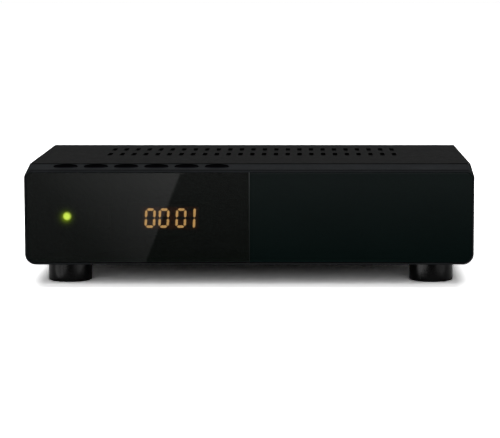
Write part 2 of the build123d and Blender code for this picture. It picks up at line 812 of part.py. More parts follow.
def tall_bar(left, inner, outer):
    """An upright segment of a digit, from the middle of the digit out to its top or bottom."""
    lean = digit_stroke / 2 if outer > inner else -digit_stroke / 2
    right = left + digit_stroke
    Polygon(*slanted([
        ((left + right) / 2, inner),
        (left, inner + lean),
        (left, outer - lean),
        ((left + right) / 2, outer),
        (right, outer - lean),
        (right, inner + lean),
    ]))


with BuildPart() as display_digits:
    reach = (digit_height - digit_stroke) / 2
    with BuildSketch(upright(display_face)):
        for start in digit_starts:
            for height in (-reach, reach):
                flat_bar(start, height)
            for left in (start, start + digit_width - digit_stroke):
                tall_bar(left, digit_break, reach - digit_break)
                tall_bar(left, -digit_break, digit_break - reach)
        tall_bar(one_start, digit_break, digit_height / 2)
        tall_bar(one_start, -digit_break, -digit_height / 2)
    extrude(amount=digit_thickness)
display_digits.part.label = "display_digits"
export_step(display_digits.part, "parts/display_digits.step")

# ---------------------------------------------------------------- power light and remote-control receiver
with BuildPart() as power_light:
    with BuildSketch(half_section(light_x, light_z)):
        with BuildLine():
            Polyline(
                (at(display_face + light_diameter / 2), light_diameter / 2),
                (at(front_board_face - light_foot), light_diameter / 2),
                (at(front_board_face - light_foot), light_diameter / 2 + light_rim),
                (at(front_board_face), light_diameter / 2 + light_rim),
                (at(front_board_face), 0),
                (at(display_face), 0),
            )
            RadiusArc(
                (at(display_face), 0),
                (at(display_face + light_diameter / 2), light_diameter / 2),
                light_diameter / 2,
            )
        make_face()
    revolve(axis=Axis((light_x, 0, light_z), (0, 1, 0)))
power_light.part.label = "power_light"
export_step(power_light.part, "parts/power_light.step")

with BuildPart() as remote_receiver:
    block(
        spanning(remote_x, remote_width),
        (front_board_face - remote_body_depth, front_board_face),
        spanning(light_z, remote_height),
    )
    with Locations((remote_x, at(front_board_face - remote_body_depth), light_z)):
        Sphere(remote_dome / 2)
    split(bisect_by=Plane.XZ.offset(-at(front_board_face)), keep=Keep.TOP)
remote_receiver.part.label = "remote_receiver"
export_step(remote_receiver.part, "parts/remote_receiver.step")

# ---------------------------------------------------------------- link between front board and main board
link_low = board_top + link_lift
link_width = link_pins * link_pitch + 2 * link_end
link_pin_z = link_low + link_height / 2
header_front = front_board_back + link_socket_depth + link_clear

with BuildPart() as link_socket:
    block(
        spanning(link_x, link_width),
        (front_board_back, front_board_back + link_socket_depth),
        (link_low, link_low + link_height),
    )
    with BuildSketch(upright(front_board_back + link_socket_depth)):
        with Locations((link_x, link_pin_z)):
            with GridLocations(link_pitch, 0, link_pins, 1):
                Rectangle(link_pin + 2 * fit, link_pin + 2 * fit)
    extrude(amount=link_socket_depth - link_socket_wall, mode=Mode.SUBTRACT)
link_socket.part.label = "link_socket"
export_step(link_socket.part, "parts/link_socket.step")

with BuildPart() as link_header:
    block(
        spanning(link_x, link_width),
        (header_front, header_front + link_header_depth),
        (board_top, link_low + link_height),
    )
    with BuildSketch(upright(header_front)):
        with Locations((link_x, link_pin_z)):
            with GridLocations(link_pitch, 0, link_pins, 1):
                Rectangle(link_pin, link_pin)
    extrude(amount=link_clear + link_socket_depth - link_pin_gap)
link_header.part.label = "link_header"
export_step(link_header.part, "parts/link_header.step")

# ---------------------------------------------------------------- power inlet
socket_front = case_depth - plastic_socket_depth
with BuildPart() as power_inlet:
    block(
        spanning(socket_x["inlet"], inlet_width),
        (socket_front, case_depth),
        (board_top, board_top + inlet_height),
    )
    with BuildSketch(upright(case_depth)):
        with Locations((socket_x["inlet"], inlet_z)):
            Circle(inlet_bore / 2)
    extrude(amount=inlet_bore_depth, mode=Mode.SUBTRACT)
power_inlet.part.label = "power_inlet"
export_step(power_inlet.part, "parts/power_inlet.step")

with BuildPart() as power_inlet_pin:
    with BuildSketch(upright(case_depth - inlet_bore_depth)):
        with Locations((socket_x["inlet"], inlet_z)):
            Circle(inlet_pin / 2)
    extrude(amount=-(inlet_bore_depth - inlet_pin_recess))
    fillet(edges().group_by(Axis.Y)[-1], inlet_pin_round)
power_inlet_pin.part.label = "power_inlet_pin"
export_step(power_inlet_pin.part, "parts/power_inlet_pin.step")

# ---------------------------------------------------------------- SCART socket


def scart_outline(width, height, cut):
    """The socket's outline: a rectangle with one lower corner cut off."""
    x, low, high = socket_x["scart"], scart_z - height / 2, scart_z + height / 2
    Polygon(
        (x - width / 2, low),
        (x + width / 2 - cut, low),
        (x + width / 2, low + cut),
        (x + width / 2, high),
        (x - width / 2, high),
    )


with BuildPart() as scart_socket:
    block(
        spanning(socket_x["scart"], scart_width),
        (socket_front, case_depth),
        (board_top, board_top + scart_height),
    )
    with BuildSketch(upright(case_depth)):
        scart_outline(scart_width - 2 * scart_shell, scart_height - 2 * scart_shell, scart_cut)
        with Locations((socket_x["scart"], scart_z)):
            Rectangle(scart_core_width, scart_core_height, mode=Mode.SUBTRACT)
    extrude(amount=scart_bore_depth, mode=Mode.SUBTRACT)
    with BuildSketch(upright(case_depth)):
        with Locations((socket_x["scart"], scart_z)):
            with GridLocations(scart_slot_pitch, scart_rows_pitch, scart_columns, 2):
                Rectangle(scart_slot_width, scart_slot_height)
    extrude(amount=scart_slot_depth, mode=Mode.SUBTRACT)
scart_socket.part.label = "scart_socket"
export_step(scart_socket.part, "parts/scart_socket.step")

with BuildPart() as scart_contacts:
    with BuildSketch(upright(case_depth - scart_slot_depth)):
        with Locations((socket_x["scart"], scart_z)):
            with GridLocations(scart_slot_pitch, scart_rows_pitch, scart_columns, 2):
                Rectangle(scart_contact_thickness, scart_contact_width)
    extrude(amount=-scart_contact_length)
scart_contacts.part.label = "scart_contacts"
export_step(scart_contacts.part, "parts/scart_contacts.step")

# ---------------------------------------------------------------- digital video and media sockets
metal_front = case_depth - metal_socket_depth


def video_outline(inset):
    """The digital audio/video socket's outline: wide at the top, its lower corners drawn in."""
    x = socket_x["video"]
    half, low, high = video_width / 2 - inset, board_top + inset, board_top + video_height - inset
    Polygon(
        (x - half + video_taper, low),
        (x + half - video_taper, low),
        (x + half, low + video_cut),
        (x + half, high),
        (x - half, high),
        (x - half, low + video_cut),
    )


with BuildPart() as video_socket_shell:
    with BuildSketch(upright(metal_front)):
        video_outline(0)
    extrude(amount=-metal_socket_depth)
    with BuildSketch(upright(case_depth)):
        video_outline(metal_wall)
    extrude(amount=metal_socket_depth - metal_wall, mode=Mode.SUBTRACT)
video_socket_shell.part.label = "video_socket_shell"
export_step(video_socket_shell.part, "parts/video_socket_shell.step")

with BuildPart() as data_socket_shell:
    with BuildSketch(upright(metal_front)):
        with Locations((socket_x["data"], data_z)):
            Rectangle(data_width, data_height)
        fillet(vertices(), data_corner)
    extrude(amount=-metal_socket_depth)
    with BuildSketch(upright(case_depth)):
        with Locations((socket_x["data"], data_z)):
            Rectangle(data_width - 2 * metal_wall, data_height - 2 * metal_wall)
    extrude(amount=metal_socket_depth - metal_wall, mode=Mode.SUBTRACT)
data_socket_shell.part.label = "data_socket_shell"
export_step(data_socket_shell.part, "parts/data_socket_shell.step")

with BuildPart() as socket_tongues:
    # base that fills the back of each shell, and the flat tongue that carries its contacts
    with BuildSketch(upright(metal_front + metal_wall)):
        video_outline(metal_wall + fit)
        with Locations((socket_x["data"], data_z)):
            Rectangle(data_width - 2 * metal_wall - 2 * fit, data_height - 2 * metal_wall - 2 * fit)
    extrude(amount=-tongue_base)
    with BuildSketch(upright(metal_front + metal_wall)):
        with Locations((socket_x["video"], video_z + video_tongue_lift)):
            Rectangle(video_tongue_width, video_tongue_thickness)
        with Locations((socket_x["data"], data_z + data_tongue_lift)):
            Rectangle(data_tongue_width, data_tongue_thickness)
    extrude(amount=-(metal_socket_depth - metal_wall - tongue_recess))
socket_tongues.part.label = "socket_tongues"
export_step(socket_tongues.part, "parts/socket_tongues.step")

# ---------------------------------------------------------------- coaxial audio socket
audio_back = case_depth + audio_reach
audio_body_back = panel_front - fit
audio_core = audio_ring / 2 - audio_ring_wall - fit
with BuildPart() as audio_socket:
    block(
        spanning(socket_x["audio"], audio_width),
        (audio_body_back - audio_body_depth, audio_body_back),
        (board_top, board_top + audio_height),
    )
    with BuildSketch(upright(audio_body_back)):
        with Locations((socket_x["audio"], audio_z)):
            Circle(audio_core)
    extrude(amount=-(audio_back - audio_body_back - audio_core_recess))
    with BuildSketch(upright(audio_back)):
        with Locations((socket_x["audio"], audio_z)):
            Circle(audio_bore / 2)
    extrude(amount=audio_back - audio_body_back, mode=Mode.SUBTRACT)
audio_socket.part.label = "audio_socket"
export_step(audio_socket.part, "parts/audio_socket.step")

with BuildPart() as audio_ring_contact:
    with BuildSketch(upright(audio_body_back)):
        with Locations((socket_x["audio"], audio_z)):
            Circle(audio_neck / 2)
    extrude(amount=-(audio_back - audio_body_back))
    with BuildSketch(upright(panel_back + audio_neck_reach)):
        with Locations((socket_x["audio"], audio_z)):
            Circle(audio_ring / 2)
    extrude(amount=-(audio_back - panel_back - audio_neck_reach))
    with BuildSketch(upright(audio_body_back)):
        with Locations((socket_x["audio"], audio_z)):
            Circle(audio_ring / 2 - audio_ring_wall)
    extrude(amount=-(audio_back - audio_body_back), mode=Mode.SUBTRACT)
    chamfer(faces().sort_by(Axis.Y)[-1].edges(), audio_ring_edge)
audio_ring_contact.part.label = "audio_ring"
export_step(audio_ring_contact.part, "parts/audio_ring.step")

# ---------------------------------------------------------------- tuner can
tuner_front = tuner_back - tuner_length
tuner_middle = tuner_back - tuner_partition
tuner_span = spanning(socket_x["tuner"], tuner_width)
antenna_line = Axis((socket_x["tuner"], 0, antenna_z), (0, 1, 0))

with BuildPart() as tuner_can:
    block(tuner_span, (tuner_front, tuner_back), (board_top, board_top + tuner_height))
    for room in ((tuner_front, tuner_middle), (tuner_middle, tuner_back)):
        block(
            (tuner_span[0] + tuner_wall, tuner_span[1] - tuner_wall),
            (room[0] + tuner_wall / 2, room[1] - tuner_wall / 2),
            (board_top, board_top + tuner_height),
            mode=Mode.SUBTRACT,
        )
    with BuildSketch(upright(tuner_back)):
        with Locations((socket_x["tuner"], antenna_z)):
            Circle(antenna_tail / 2 + fit)
    extrude(amount=tuner_wall, mode=Mode.SUBTRACT)
tuner_can.part.label = "tuner_can"
export_step(tuner_can.part, "parts/tuner_can.step")

with BuildPart() as tuner_lid:
    lid_low = board_top + tuner_height
    lid_half = tuner_width / 2 + fit + tuner_wall
    block(
        spanning(socket_x["tuner"], 2 * lid_half),
        (tuner_front, tuner_back),
        (lid_low, lid_low + tuner_wall),
    )
    for outside in (-1, 1):
        edge = socket_x["tuner"] + outside * lid_half
        block(
            sorted((edge, edge - outside * tuner_wall)),
            (tuner_front, tuner_back),
            (lid_low - tuner_lid_skirt, lid_low),
        )
tuner_lid.part.label = "tuner_lid"
export_step(tuner_lid.part, "parts/tuner_lid.step")

# ---------------------------------------------------------------- antenna socket
antenna_back = case_depth + antenna_reach
antenna_radius = antenna_thread / 2
flange_back = tuner_back + antenna_flange_thickness
antenna_root = antenna_radius - antenna_groove  # also the stem under the nut
thread_front = panel_back + nut_thickness + nut_clear
thread_back = antenna_back - antenna_edge
thread_turns = int((thread_back - thread_front) / antenna_pitch)
antenna_bore_front = antenna_back - antenna_bore_depth
insulator_back = antenna_back - antenna_insulator_recess

with BuildPart() as antenna_socket:
    with BuildSketch(half_section(socket_x["tuner"], antenna_z)):
        with BuildLine():
            crests = []
            for turn in range(thread_turns):
                crest = thread_back - turn * antenna_pitch
                crests += [
                    (at(crest), antenna_radius),
                    (at(crest - antenna_pitch * 0.3), antenna_radius),
                    (at(crest - antenna_pitch * 0.65), antenna_root),
                ]
            Polyline(
                (at(tuner_back - antenna_tail_length), 0),
                (at(antenna_bore_front), 0),
                (at(antenna_bore_front), antenna_bore / 2),
                (at(antenna_back), antenna_bore / 2),
                (at(antenna_back), antenna_radius - antenna_edge),
                *crests,
                (at(thread_back - thread_turns * antenna_pitch), antenna_radius),
                (at(thread_front), antenna_radius),
                (at(thread_front), antenna_root),
                (at(flange_back), antenna_root),
                (at(flange_back), antenna_flange / 2),
                (at(tuner_back), antenna_flange / 2),
                (at(tuner_back), antenna_tail / 2),
                (at(tuner_back - antenna_tail_length), antenna_tail / 2),
                close=True,
            )
        make_face()
    revolve(axis=antenna_line)
antenna_socket.part.label = "antenna_socket"
export_step(antenna_socket.part, "parts/antenna_socket.step")

with BuildPart() as antenna_nut:
    with BuildSketch(upright(panel_back)):
        with Locations((socket_x["tuner"], antenna_z)):
            RegularPolygon(nut_across / 2, 6, major_radius=False)
            Circle(antenna_root + screw_fit, mode=Mode.SUBTRACT)
    extrude(amount=-nut_thickness)
antenna_nut.part.label = "antenna_nut"
export_step(antenna_nut.part, "parts/antenna_nut.step")

with BuildPart() as antenna_insulator:
    with BuildSketch(upright(antenna_bore_front)):
        with Locations((socket_x["tuner"], antenna_z)):
            Circle(antenna_bore / 2 - fit)
    extrude(amount=antenna_bore_front - insulator_back)
    with BuildSketch(upright(insulator_back)):
        with Locations((socket_x["tuner"], antenna_z)):
            Circle(antenna_contact_hole / 2)
    extrude(amount=antenna_contact_depth, mode=Mode.SUBTRACT)
antenna_insulator.part.label = "antenna_insulator"
export_step(antenna_insulator.part, "parts/antenna_insulator.step")

with BuildPart() as antenna_contact:
    with BuildSketch(upright(insulator_back - antenna_contact_depth)):
        with Locations((socket_x["tuner"], antenna_z)):
            Circle(antenna_contact_hole / 2 - fit)
            Circle(antenna_contact_bore / 2, mode=Mode.SUBTRACT)
    extrude(amount=antenna_contact_recess - antenna_contact_depth)
antenna_contact.part.label = "antenna_contact"
export_step(antenna_contact.part, "parts/antenna_contact.step")

# ---------------------------------------------------------------- processor, heat sink, memory
processor_span = spanning(case_depth - processor_inset, processor_size)
with BuildPart() as processor_chip:
    block(
        spanning(processor_x, processor_size), processor_span, (board_top, board_top + processor_height)
    )
    chamfer(edges().filter_by(Axis.Z), processor_corner)
processor_chip.part.label = "processor_chip"
export_step(processor_chip.part, "parts/processor_chip.step")

with BuildPart() as heat_sink:
    sink_low = board_top + processor_height
    sink_depth = spanning(case_depth - processor_inset, sink_size)
    block(spanning(processor_x, sink_size), sink_depth, (sink_low, sink_low + sink_base))
    with BuildSketch(Plane.XY.offset(sink_low + sink_base)):
        with Locations((processor_x, at(case_depth - processor_inset))):
            with GridLocations((sink_size - fin_thickness) / (fin_count - 1), 0, fin_count, 1):
                Rectangle(fin_thickness, sink_size)
    extrude(amount=sink_height - sink_base)
heat_sink.part.label = "heat_sink"
export_step(heat_sink.part, "parts/heat_sink.step")

with BuildPart() as memory_chips:
    for inset in memory_insets:
        block(
            spanning(processor_x + memory_offset, memory_width),
            spanning(case_depth - inset, memory_length),
            (board_top, board_top + memory_height),
        )
    chamfer(edges().filter_by(Axis.Z), memory_corner)
memory_chips.part.label = "memory_chips"
export_step(memory_chips.part, "parts/memory_chips.step")

# ---------------------------------------------------------------- capacitors and power coils
small_made = capacitor(*small_capacitor)
medium_made = capacitor(*medium_capacitor)
large_made = capacitor(*large_capacitor)
with BuildPart() as capacitors:
    for inset in large_insets:
        with Locations((socket_x["inlet"] + large_column, at(case_depth - inset), board_top)):
            add(large_made)
    for inset in medium_insets:
        with Locations((socket_x["inlet"] + medium_column, at(case_depth - inset), board_top)):
            add(medium_made)
    for column in small_columns:
        with Locations((socket_x["audio"] + column, at(case_depth - small_inset), board_top)):
            add(small_made)
capacitors.part.label = "capacitors"
export_step(capacitors.part, "parts/capacitors.step")

coils_at = [(socket_x["scart"] + coil_column, at(case_depth - inset)) for inset in coil_insets]
with BuildPart() as power_coils:
    with BuildSketch(Plane.XY.offset(board_top)):
        with Locations(*coils_at):
            Circle(coil_diameter / 2)
    extrude(amount=coil_height)
    with BuildSketch(Plane.XY.offset(board_top + coil_rim)):
        with Locations(*coils_at):
            Circle(coil_diameter / 2)
            Circle(coil_waist / 2, mode=Mode.SUBTRACT)
    extrude(amount=coil_height - 2 * coil_rim, mode=Mode.SUBTRACT)
power_coils.part.label = "power_coils"
export_step(power_coils.part, "parts/power_coils.step")
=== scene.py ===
"""Finishes, fine pieces and a studio for a compact satellite receiver, laid out as an add-on.

Metres, +Z up, +X to the viewer's right. The front faces -Y, and depths are measured back from it.
"""

import json
import math

import bmesh
import bpy
from mathutils import Matrix, Vector


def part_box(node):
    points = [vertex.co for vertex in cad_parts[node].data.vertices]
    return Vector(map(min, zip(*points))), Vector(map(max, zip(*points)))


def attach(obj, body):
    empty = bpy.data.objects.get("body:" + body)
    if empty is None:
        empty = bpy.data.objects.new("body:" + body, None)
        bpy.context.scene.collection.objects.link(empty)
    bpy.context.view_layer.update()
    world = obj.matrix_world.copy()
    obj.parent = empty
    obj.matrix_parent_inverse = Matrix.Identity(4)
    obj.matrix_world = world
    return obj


bl_info = {
    "name": "Satellite Receiver",
    "version": (1, 0, 0),
    "blender": (4, 5, 0),
    "location": "View3D > Sidebar > Receiver",
    "description": "Finishes, fine pieces and a studio for a compact satellite receiver",
    "category": "Add Mesh",
}

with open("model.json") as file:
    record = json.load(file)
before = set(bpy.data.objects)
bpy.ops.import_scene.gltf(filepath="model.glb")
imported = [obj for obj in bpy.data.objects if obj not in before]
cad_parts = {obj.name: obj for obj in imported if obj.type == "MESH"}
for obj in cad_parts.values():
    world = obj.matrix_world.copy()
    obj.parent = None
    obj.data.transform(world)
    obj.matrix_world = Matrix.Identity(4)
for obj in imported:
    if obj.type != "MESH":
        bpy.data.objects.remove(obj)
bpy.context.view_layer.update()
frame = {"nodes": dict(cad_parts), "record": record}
MM = 0.001
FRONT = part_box("front_moulding")[0].y
BOARD_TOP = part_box("main_board")[1].z
SLOT_OF = {part["node"]: part["material_slot"] for part in frame["record"]["subparts"]}
UP = Vector((0, 0, 1))
RIGHT = Vector((1, 0, 0))
BACK = Vector((0, 1, 0))
FORWARD = -BACK
SMOOTH_BELOW = math.radians(35)
PLAIN = (1, 1, 1)
SHEET = 0.85 * MM  # the sheet metal with its paint
CUT_EDGE_SHADE = 0.0008  # grey level of the painted shade on the sheet's cut edges, such as the walls of the vent slots
LIGHT_RADIUS = 1.65 * MM
MEMORY_LENGTH = 18.4 * MM
PINS_IN_ROW, PIN_PITCH, PIN_WIDTH = 22, 0.8 * MM, 0.34 * MM

# the display's digits, from its centre
DIGIT_WIDTH, DIGIT_HEIGHT, DIGIT_STROKE, DIGIT_BREAK = 4.0 * MM, 7.3 * MM, 0.9 * MM, 0.22 * MM
DIGIT_SLANT = 0.05
ZERO_STARTS = (-9.8 * MM, -4.66 * MM, 1.73 * MM)
ONE_CELL_START = 5.17 * MM
COLON_X = 0.53 * MM
UNLIT_RELIEF = 0.12 * MM

# what stands on the boards, in millimetres, the depths behind the front face
CAPACITORS = (  # x, depth, radius, height over the board and pitch of the leads
    (-71.5, 77, 5, 14, 5.0), (-71.5, 65, 5, 14, 5.0), (-57.5, 77, 4, 12, 3.5), (-57.5, 66, 4, 12, 3.5),
    (34.22, 81, 3.15, 11, 2.5), (44.22, 81, 3.15, 11, 2.5),
)
SOLDERED_ROWS = (  # x of the middle, depth, number and pitch of the pins
    (-38.22, 91, 10, 3.81), (-38.22, 94, 11, 3.81), (1.06, 94, 10, 1.1), (22.89, 94, 4, 2.5),
    (-36.0, 15, 10, 2.0), (42.22, 94, 3, 3.6), (-74.5, 91.5, 3, 2.6), (67.0, 80, 5, 4.2),
    (-44.22, 77, 2, 6.0), (-44.22, 63, 2, 6.0),
)
FRONT_PINS_X, FRONT_PIN_HEIGHTS = -29.3, (29.4, 23.4)
TONGUES = (  # x, height of the top, thickness, and number, pitch and width of the contacts
    (1.06, 20.30, 0.9, 10, 1.0, 0.5),
    (22.89, 21.10, 1.8, 4, 2.5, 1.1),
)
PART_FIELDS = (  # left, right, front and back end of each free field of the main board
    (-64, -30, 26, 54), (-26, -12, 30, 54), (44, 76, 26, 54), (-6, 22, 72, 84),
)
PART_COLUMN, PART_ROW, PART_MARGIN = 4.2, 4.6, 2  # spacing in a field, and its free border
CRYSTAL_XS, CRYSTAL_DEPTH = (-2.0, 15.0), 30.0
REGULATOR_X, REGULATOR_DEPTHS = -24.0, (66.0, 78.0)

# the glowing strips that the feet mirror
STRIPS = (  # left and right end in metres, depth of the rear end in millimetres, and radiance
    (-0.140, -0.079, 14, 5.4),
    (-0.052, 0.000, 7, 3.9),
    (-0.004, 0.050, 10, 11.5),
    (0.086, 0.140, 10, 3.6),
)
STRIP_FRONT = -55  # depth of their front ends


# ---- settings
def colour_setting(name, description, default):
    """A colour that the user may change."""
    return bpy.props.FloatVectorProperty(
        name=name, description=description, subtype="COLOR", size=3, min=0.0, max=1.0, default=default
    )


def length_setting(name, description, default):
    """A length in metres that the user may change."""
    return bpy.props.FloatProperty(
        name=name, description=description, subtype="DISTANCE", unit="LENGTH", min=0.0, precision=5,
        default=default,
    )


def strength_setting(name, description, default):
    """A plain number that the user may change."""
    return bpy.props.FloatProperty(name=name, description=description, min=0.0, default=default)


class ReceiverCase(bpy.types.PropertyGroup):
    """Colours of the case, the front and the feet."""

    cover: colour_setting("Cover", "Powder coat of the cover", (0.0073, 0.0075, 0.0075))
    tray: colour_setting("Tray", "Powder coat of the tray and the rear panel", (0.014, 0.0145, 0.015))
    moulding: colour_setting("Moulding", "Satin plastic of the front moulding", (0.0125, 0.0135, 0.0145))
    keys: colour_setting("Keys", "Caps of the six keys", (0.0010, 0.0010, 0.0012))
    window: colour_setting("Window", "Smoked sheet over the display", (0.0043, 0.0054, 0.0047))
    blank: colour_setting("Blank plate", "Polished plate beside the window", (0.0022, 0.0048, 0.0044))
    window_density: bpy.props.FloatProperty(
        name="Window density", description="Share of the light that each face of the window stops",
        subtype="FACTOR", min=0.0, max=1.0, default=0.84,
    )
    feet: colour_setting("Feet", "Satin rubber of the feet", (0.002, 0.002, 0.0021))


class ReceiverDisplay(bpy.types.PropertyGroup):
    """Light and sizes of the display and the power light."""

    digits: colour_setting("Digits", "Lit segments", (1.0, 0.58, 0.20))
    digit_strength: strength_setting("Digit strength", "How brightly the segments are lit", 16.0)
    light: colour_setting("Power light", "Lens of the power light", (0.77, 1.0, 0.12))
    light_strength: strength_setting("Light strength", "How brightly the power light's middle is lit", 27.0)
    # painted glow: the next two settings drive emission painted into the window round the power light
    painted_glow_level: strength_setting("Glow", "Brightness of the light that scatters in the window", 0.125)
    painted_glow_reach: length_setting("Glow reach", "Distance over which that glow falls to a third", 0.62 * MM)
    rim: length_setting("Display rim", "Width of the raised rim round the display", 0.7 * MM)


class ReceiverBoards(bpy.types.PropertyGroup):
    """Colours and sizes of what stands on the boards."""

    mask: colour_setting("Solder mask", "Coating of the circuit boards", (0.012, 0.11, 0.045))
    joint: length_setting("Solder joint", "Radius of a solder joint's foot", 0.9 * MM)
    small_part: length_setting("Small part", "Length of a small surface part", 2.0 * MM)


class ReceiverStage(bpy.types.PropertyGroup):
    """The camera, the lamps and the floor."""

    eye: bpy.props.FloatVectorProperty(
        name="Camera place", description="Where the camera stands", subtype="XYZ", unit="LENGTH", size=3,
        precision=5, default=(0.01726, -0.84745, 0.11964),
    )
    tilt: bpy.props.FloatProperty(
        name="Camera tilt", description="Camera's turn up from straight down", subtype="ANGLE",
        default=math.radians(83.27),
    )
    lens: bpy.props.FloatProperty(
        name="Lens", description="Focal length in millimetres", min=10.0, default=153.67
    )
    shift: bpy.props.FloatProperty(
        name="Sideways shift", description="Lens shift, as a share of the picture's width", default=-0.091
    )
    ambient_front: strength_setting("Ambient, front", "Light from the front half of the room", 0.3)
    ambient_back: strength_setting("Ambient, back", "Light from the back half of the room", 0.06)
    top_level: strength_setting("Top lamp", "Radiance of the soft lamp overhead", 1.6)
    front_level: strength_setting("Front lamp", "Radiance of the soft lamp in front", 3.4)
    floor_lit: strength_setting("Floor", "Colour of the floor as it lights the object", 0.6)
    floor_seen: strength_setting("Floor as seen", "Colour of the floor as the camera sees it", 2.6)
    card_dark: strength_setting("Card, dark side", "Radiance of the card far from the plates", 0.20)
    card_left: strength_setting("Card, left side", "Radiance that the left of the card adds", 0.12)
    card_bright: strength_setting("Card, bright side", "Radiance at the edge of its bright wedge", 0.88)


# ---- materials
class Shading:
    """The nodes of a material or a world, and the shader that they feed."""

    def __init__(self, owner, shader):
        owner.use_nodes = True
        self.tree = owner.node_tree
        self.shader = self.tree.nodes[shader]

    def put(self, node, inputs):
        """Sets or links the inputs of a node."""
        for name, value in inputs.items():
            socket = node.inputs[name]
            if isinstance(value, bpy.types.NodeSocket):
                self.tree.links.new(value, socket)
            else:
                socket.default_value = (*value, 1.0) if socket.type == "RGBA" else value

    def set(self, socket, value):
        """Sets or links one input of the shader."""
        self.put(self.shader, {socket: value})

    def add(self, kind, inputs=None, **settings):
        """A new node with its settings and inputs."""
        made = self.tree.nodes.new("ShaderNode" + kind)
        for name, value in settings.items():
            setattr(made, name, value)
        self.put(made, inputs or {})
        return made

    def place(self, centre=(0, 0, 0), scale=PLAIN):
        """The piece's own coordinates, about a centre and stretched."""
        source = self.add("TexCoord").outputs["Object"]
        if tuple(centre) == (0, 0, 0) and tuple(scale) == PLAIN:
            return source
        return self.vector("MULTIPLY", self.vector("SUBTRACT", source, centre), scale)

    def vector(self, operation, first, second=PLAIN, result="Vector"):
        """One sum of two vectors."""
        return self.add("VectorMath", {0: first, 1: second}, operation=operation).outputs[result]

    def parts(self, vector=None):
        """The three parts of a vector, or of the piece's own coordinates."""
        source = self.place() if vector is None else vector
        return self.add("SeparateXYZ", {"Vector": source}).outputs

    def noise(self, size, detail=2.0, scale=PLAIN):
        """Noise whose features are about this long."""
        inputs = {"Vector": self.place(scale=scale), "Scale": 1 / size, "Detail": detail}
        return self.add("TexNoise", inputs).outputs["Fac"]

    def grains(self, size):
        """Distance from the middles of scattered grains of about this size."""
        return self.add("TexVoronoi", {"Vector": self.place(), "Scale": 1 / size}).outputs["Distance"]

    def mapped(self, value, low=0.0, high=1.0, start=0.3, end=0.7, smooth=False):
        """A value spread from one range over another."""
        inputs = {"Value": value, "From Min": start, "From Max": end, "To Min": low, "To Max": high}
        course = "SMOOTHSTEP" if smooth else "LINEAR"
        return self.add("MapRange", inputs, interpolation_type=course).outputs["Result"]

    def facing_away(self):
        """How far the surface turns from the eye: 0 seen squarely, 1 seen along it."""
        return self.add("LayerWeight", {"Blend": 0.5}).outputs["Facing"]

    def maths(self, operation, first, second=0.0):
        """One sum of two values."""
        return self.add("Math", {0: first, 1: second}, operation=operation).outputs[0]

    def times(self, first, *others):
        """The product of values."""
        for other in others:
            first = self.maths("MULTIPLY", first, other)
        return first

    def blend(self, share, first, second):
        """A colour between two others."""
        return self.add("Mix", {0: share, 6: first, 7: second}, data_type="RGBA").outputs[2]

    def mottled(self, value, first, second):
        """A colour between two others, by the middle of a noise's range."""
        return self.blend(self.mapped(value), first, second)


class Finish(Shading):
    """A material of one Principled shader. It dresses every solid whose slot has its name."""

    def __init__(self, name, roughness, metallic=0.0, specular=0.5, colour=(0.5, 0.5, 0.5)):
        material = bpy.data.materials.new(name)
        for node, obj in frame["nodes"].items():
            if SLOT_OF[node] == name:
                obj.material_slots[0].material = material
        super().__init__(material, "Principled BSDF")
        self.set("Base Color", colour)
        self.set("Roughness", roughness)
        self.set("Metallic", metallic)
        self.set("Specular IOR Level", specular)

    def tint(self, value, first, second):
        """Colours the surface between two colours."""
        self.set("Base Color", self.mottled(value, first, second))

    def rough(self, value, low, high):
        """Spreads the roughness between two values."""
        self.set("Roughness", self.mapped(value, low, high))

    def relief(self, value, depth):
        """Raises the surface by this depth where the value is high."""
        bump = self.add("Bump", {"Height": value, "Distance": depth})
        self.set("Normal", bump.outputs["Normal"])


def shade(colour, factor):
    """A lighter or darker copy of a colour."""
    return tuple(channel * factor for channel in colour)


def grey(level):
    """A neutral colour."""
    return (level, level, level)


def powder_coat(name, colour, node):
    """Matt black powder coat: orange peel over a fine grain, with painted shade on the cut edges of the
    top, such as the walls of the vent slots.
    """
    finish = Finish(name, 0.8, specular=0.005)
    peel = finish.noise(1.6 * MM, 3.0)
    grain = finish.noise(0.35 * MM)
    low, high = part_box(node)
    # painted shade: faces that lie in the sheet's thickness below the top, away from the sides, are painted
    # near black, as if in shadow
    parts = finish.parts(finish.vector("ABSOLUTE", finish.place(centre_of(node, y=0.0, z=high.z))))
    below = finish.mapped(parts["Z"], 0.0, 1.0, 0.04 * MM, 0.14 * MM)
    within = finish.maths("LESS_THAN", parts["Z"], SHEET)
    between = finish.maths("LESS_THAN", parts["X"], (high.x - low.x) / 2 - SHEET)
    painted_cut_shade = finish.times(below, within, between)
    paint = finish.mottled(grain, shade(colour, 0.85), shade(colour, 1.25))
    finish.set("Base Color", finish.blend(painted_cut_shade, paint, grey(CUT_EDGE_SHADE)))
    finish.rough(peel, 0.72, 0.86)
    finish.relief(grain, 0.012 * MM)


def moulding_black(colour):
    """Satin black plastic with a fine grain, and a band of painted shade along the upper front edge."""
    finish = Finish("moulding_black", 0.65, specular=0.002)
    grain = finish.grains(0.3 * MM)
    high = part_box("front_moulding")[1]
    spot = finish.parts()
    # painted shade: the top of the moulding, within about 3 mm of the front, is painted at 0.42 of the
    # colour as a shadow line
    near = finish.mapped(spot["Y"], 1.0, 0.0, at(2.6), at(3.6), smooth=True)
    upper = finish.mapped(spot["Z"], 0.0, 1.0, high.z - 1.05 * MM, high.z - 0.88 * MM, smooth=True)
    plastic = finish.mottled(finish.noise(9 * MM), shade(colour, 0.9), shade(colour, 1.12))
    finish.set("Base Color", finish.blend(finish.times(near, upper), plastic, shade(colour, 0.42)))
    finish.rough(grain, 0.58, 0.72)
    finish.relief(grain, 0.006 * MM)


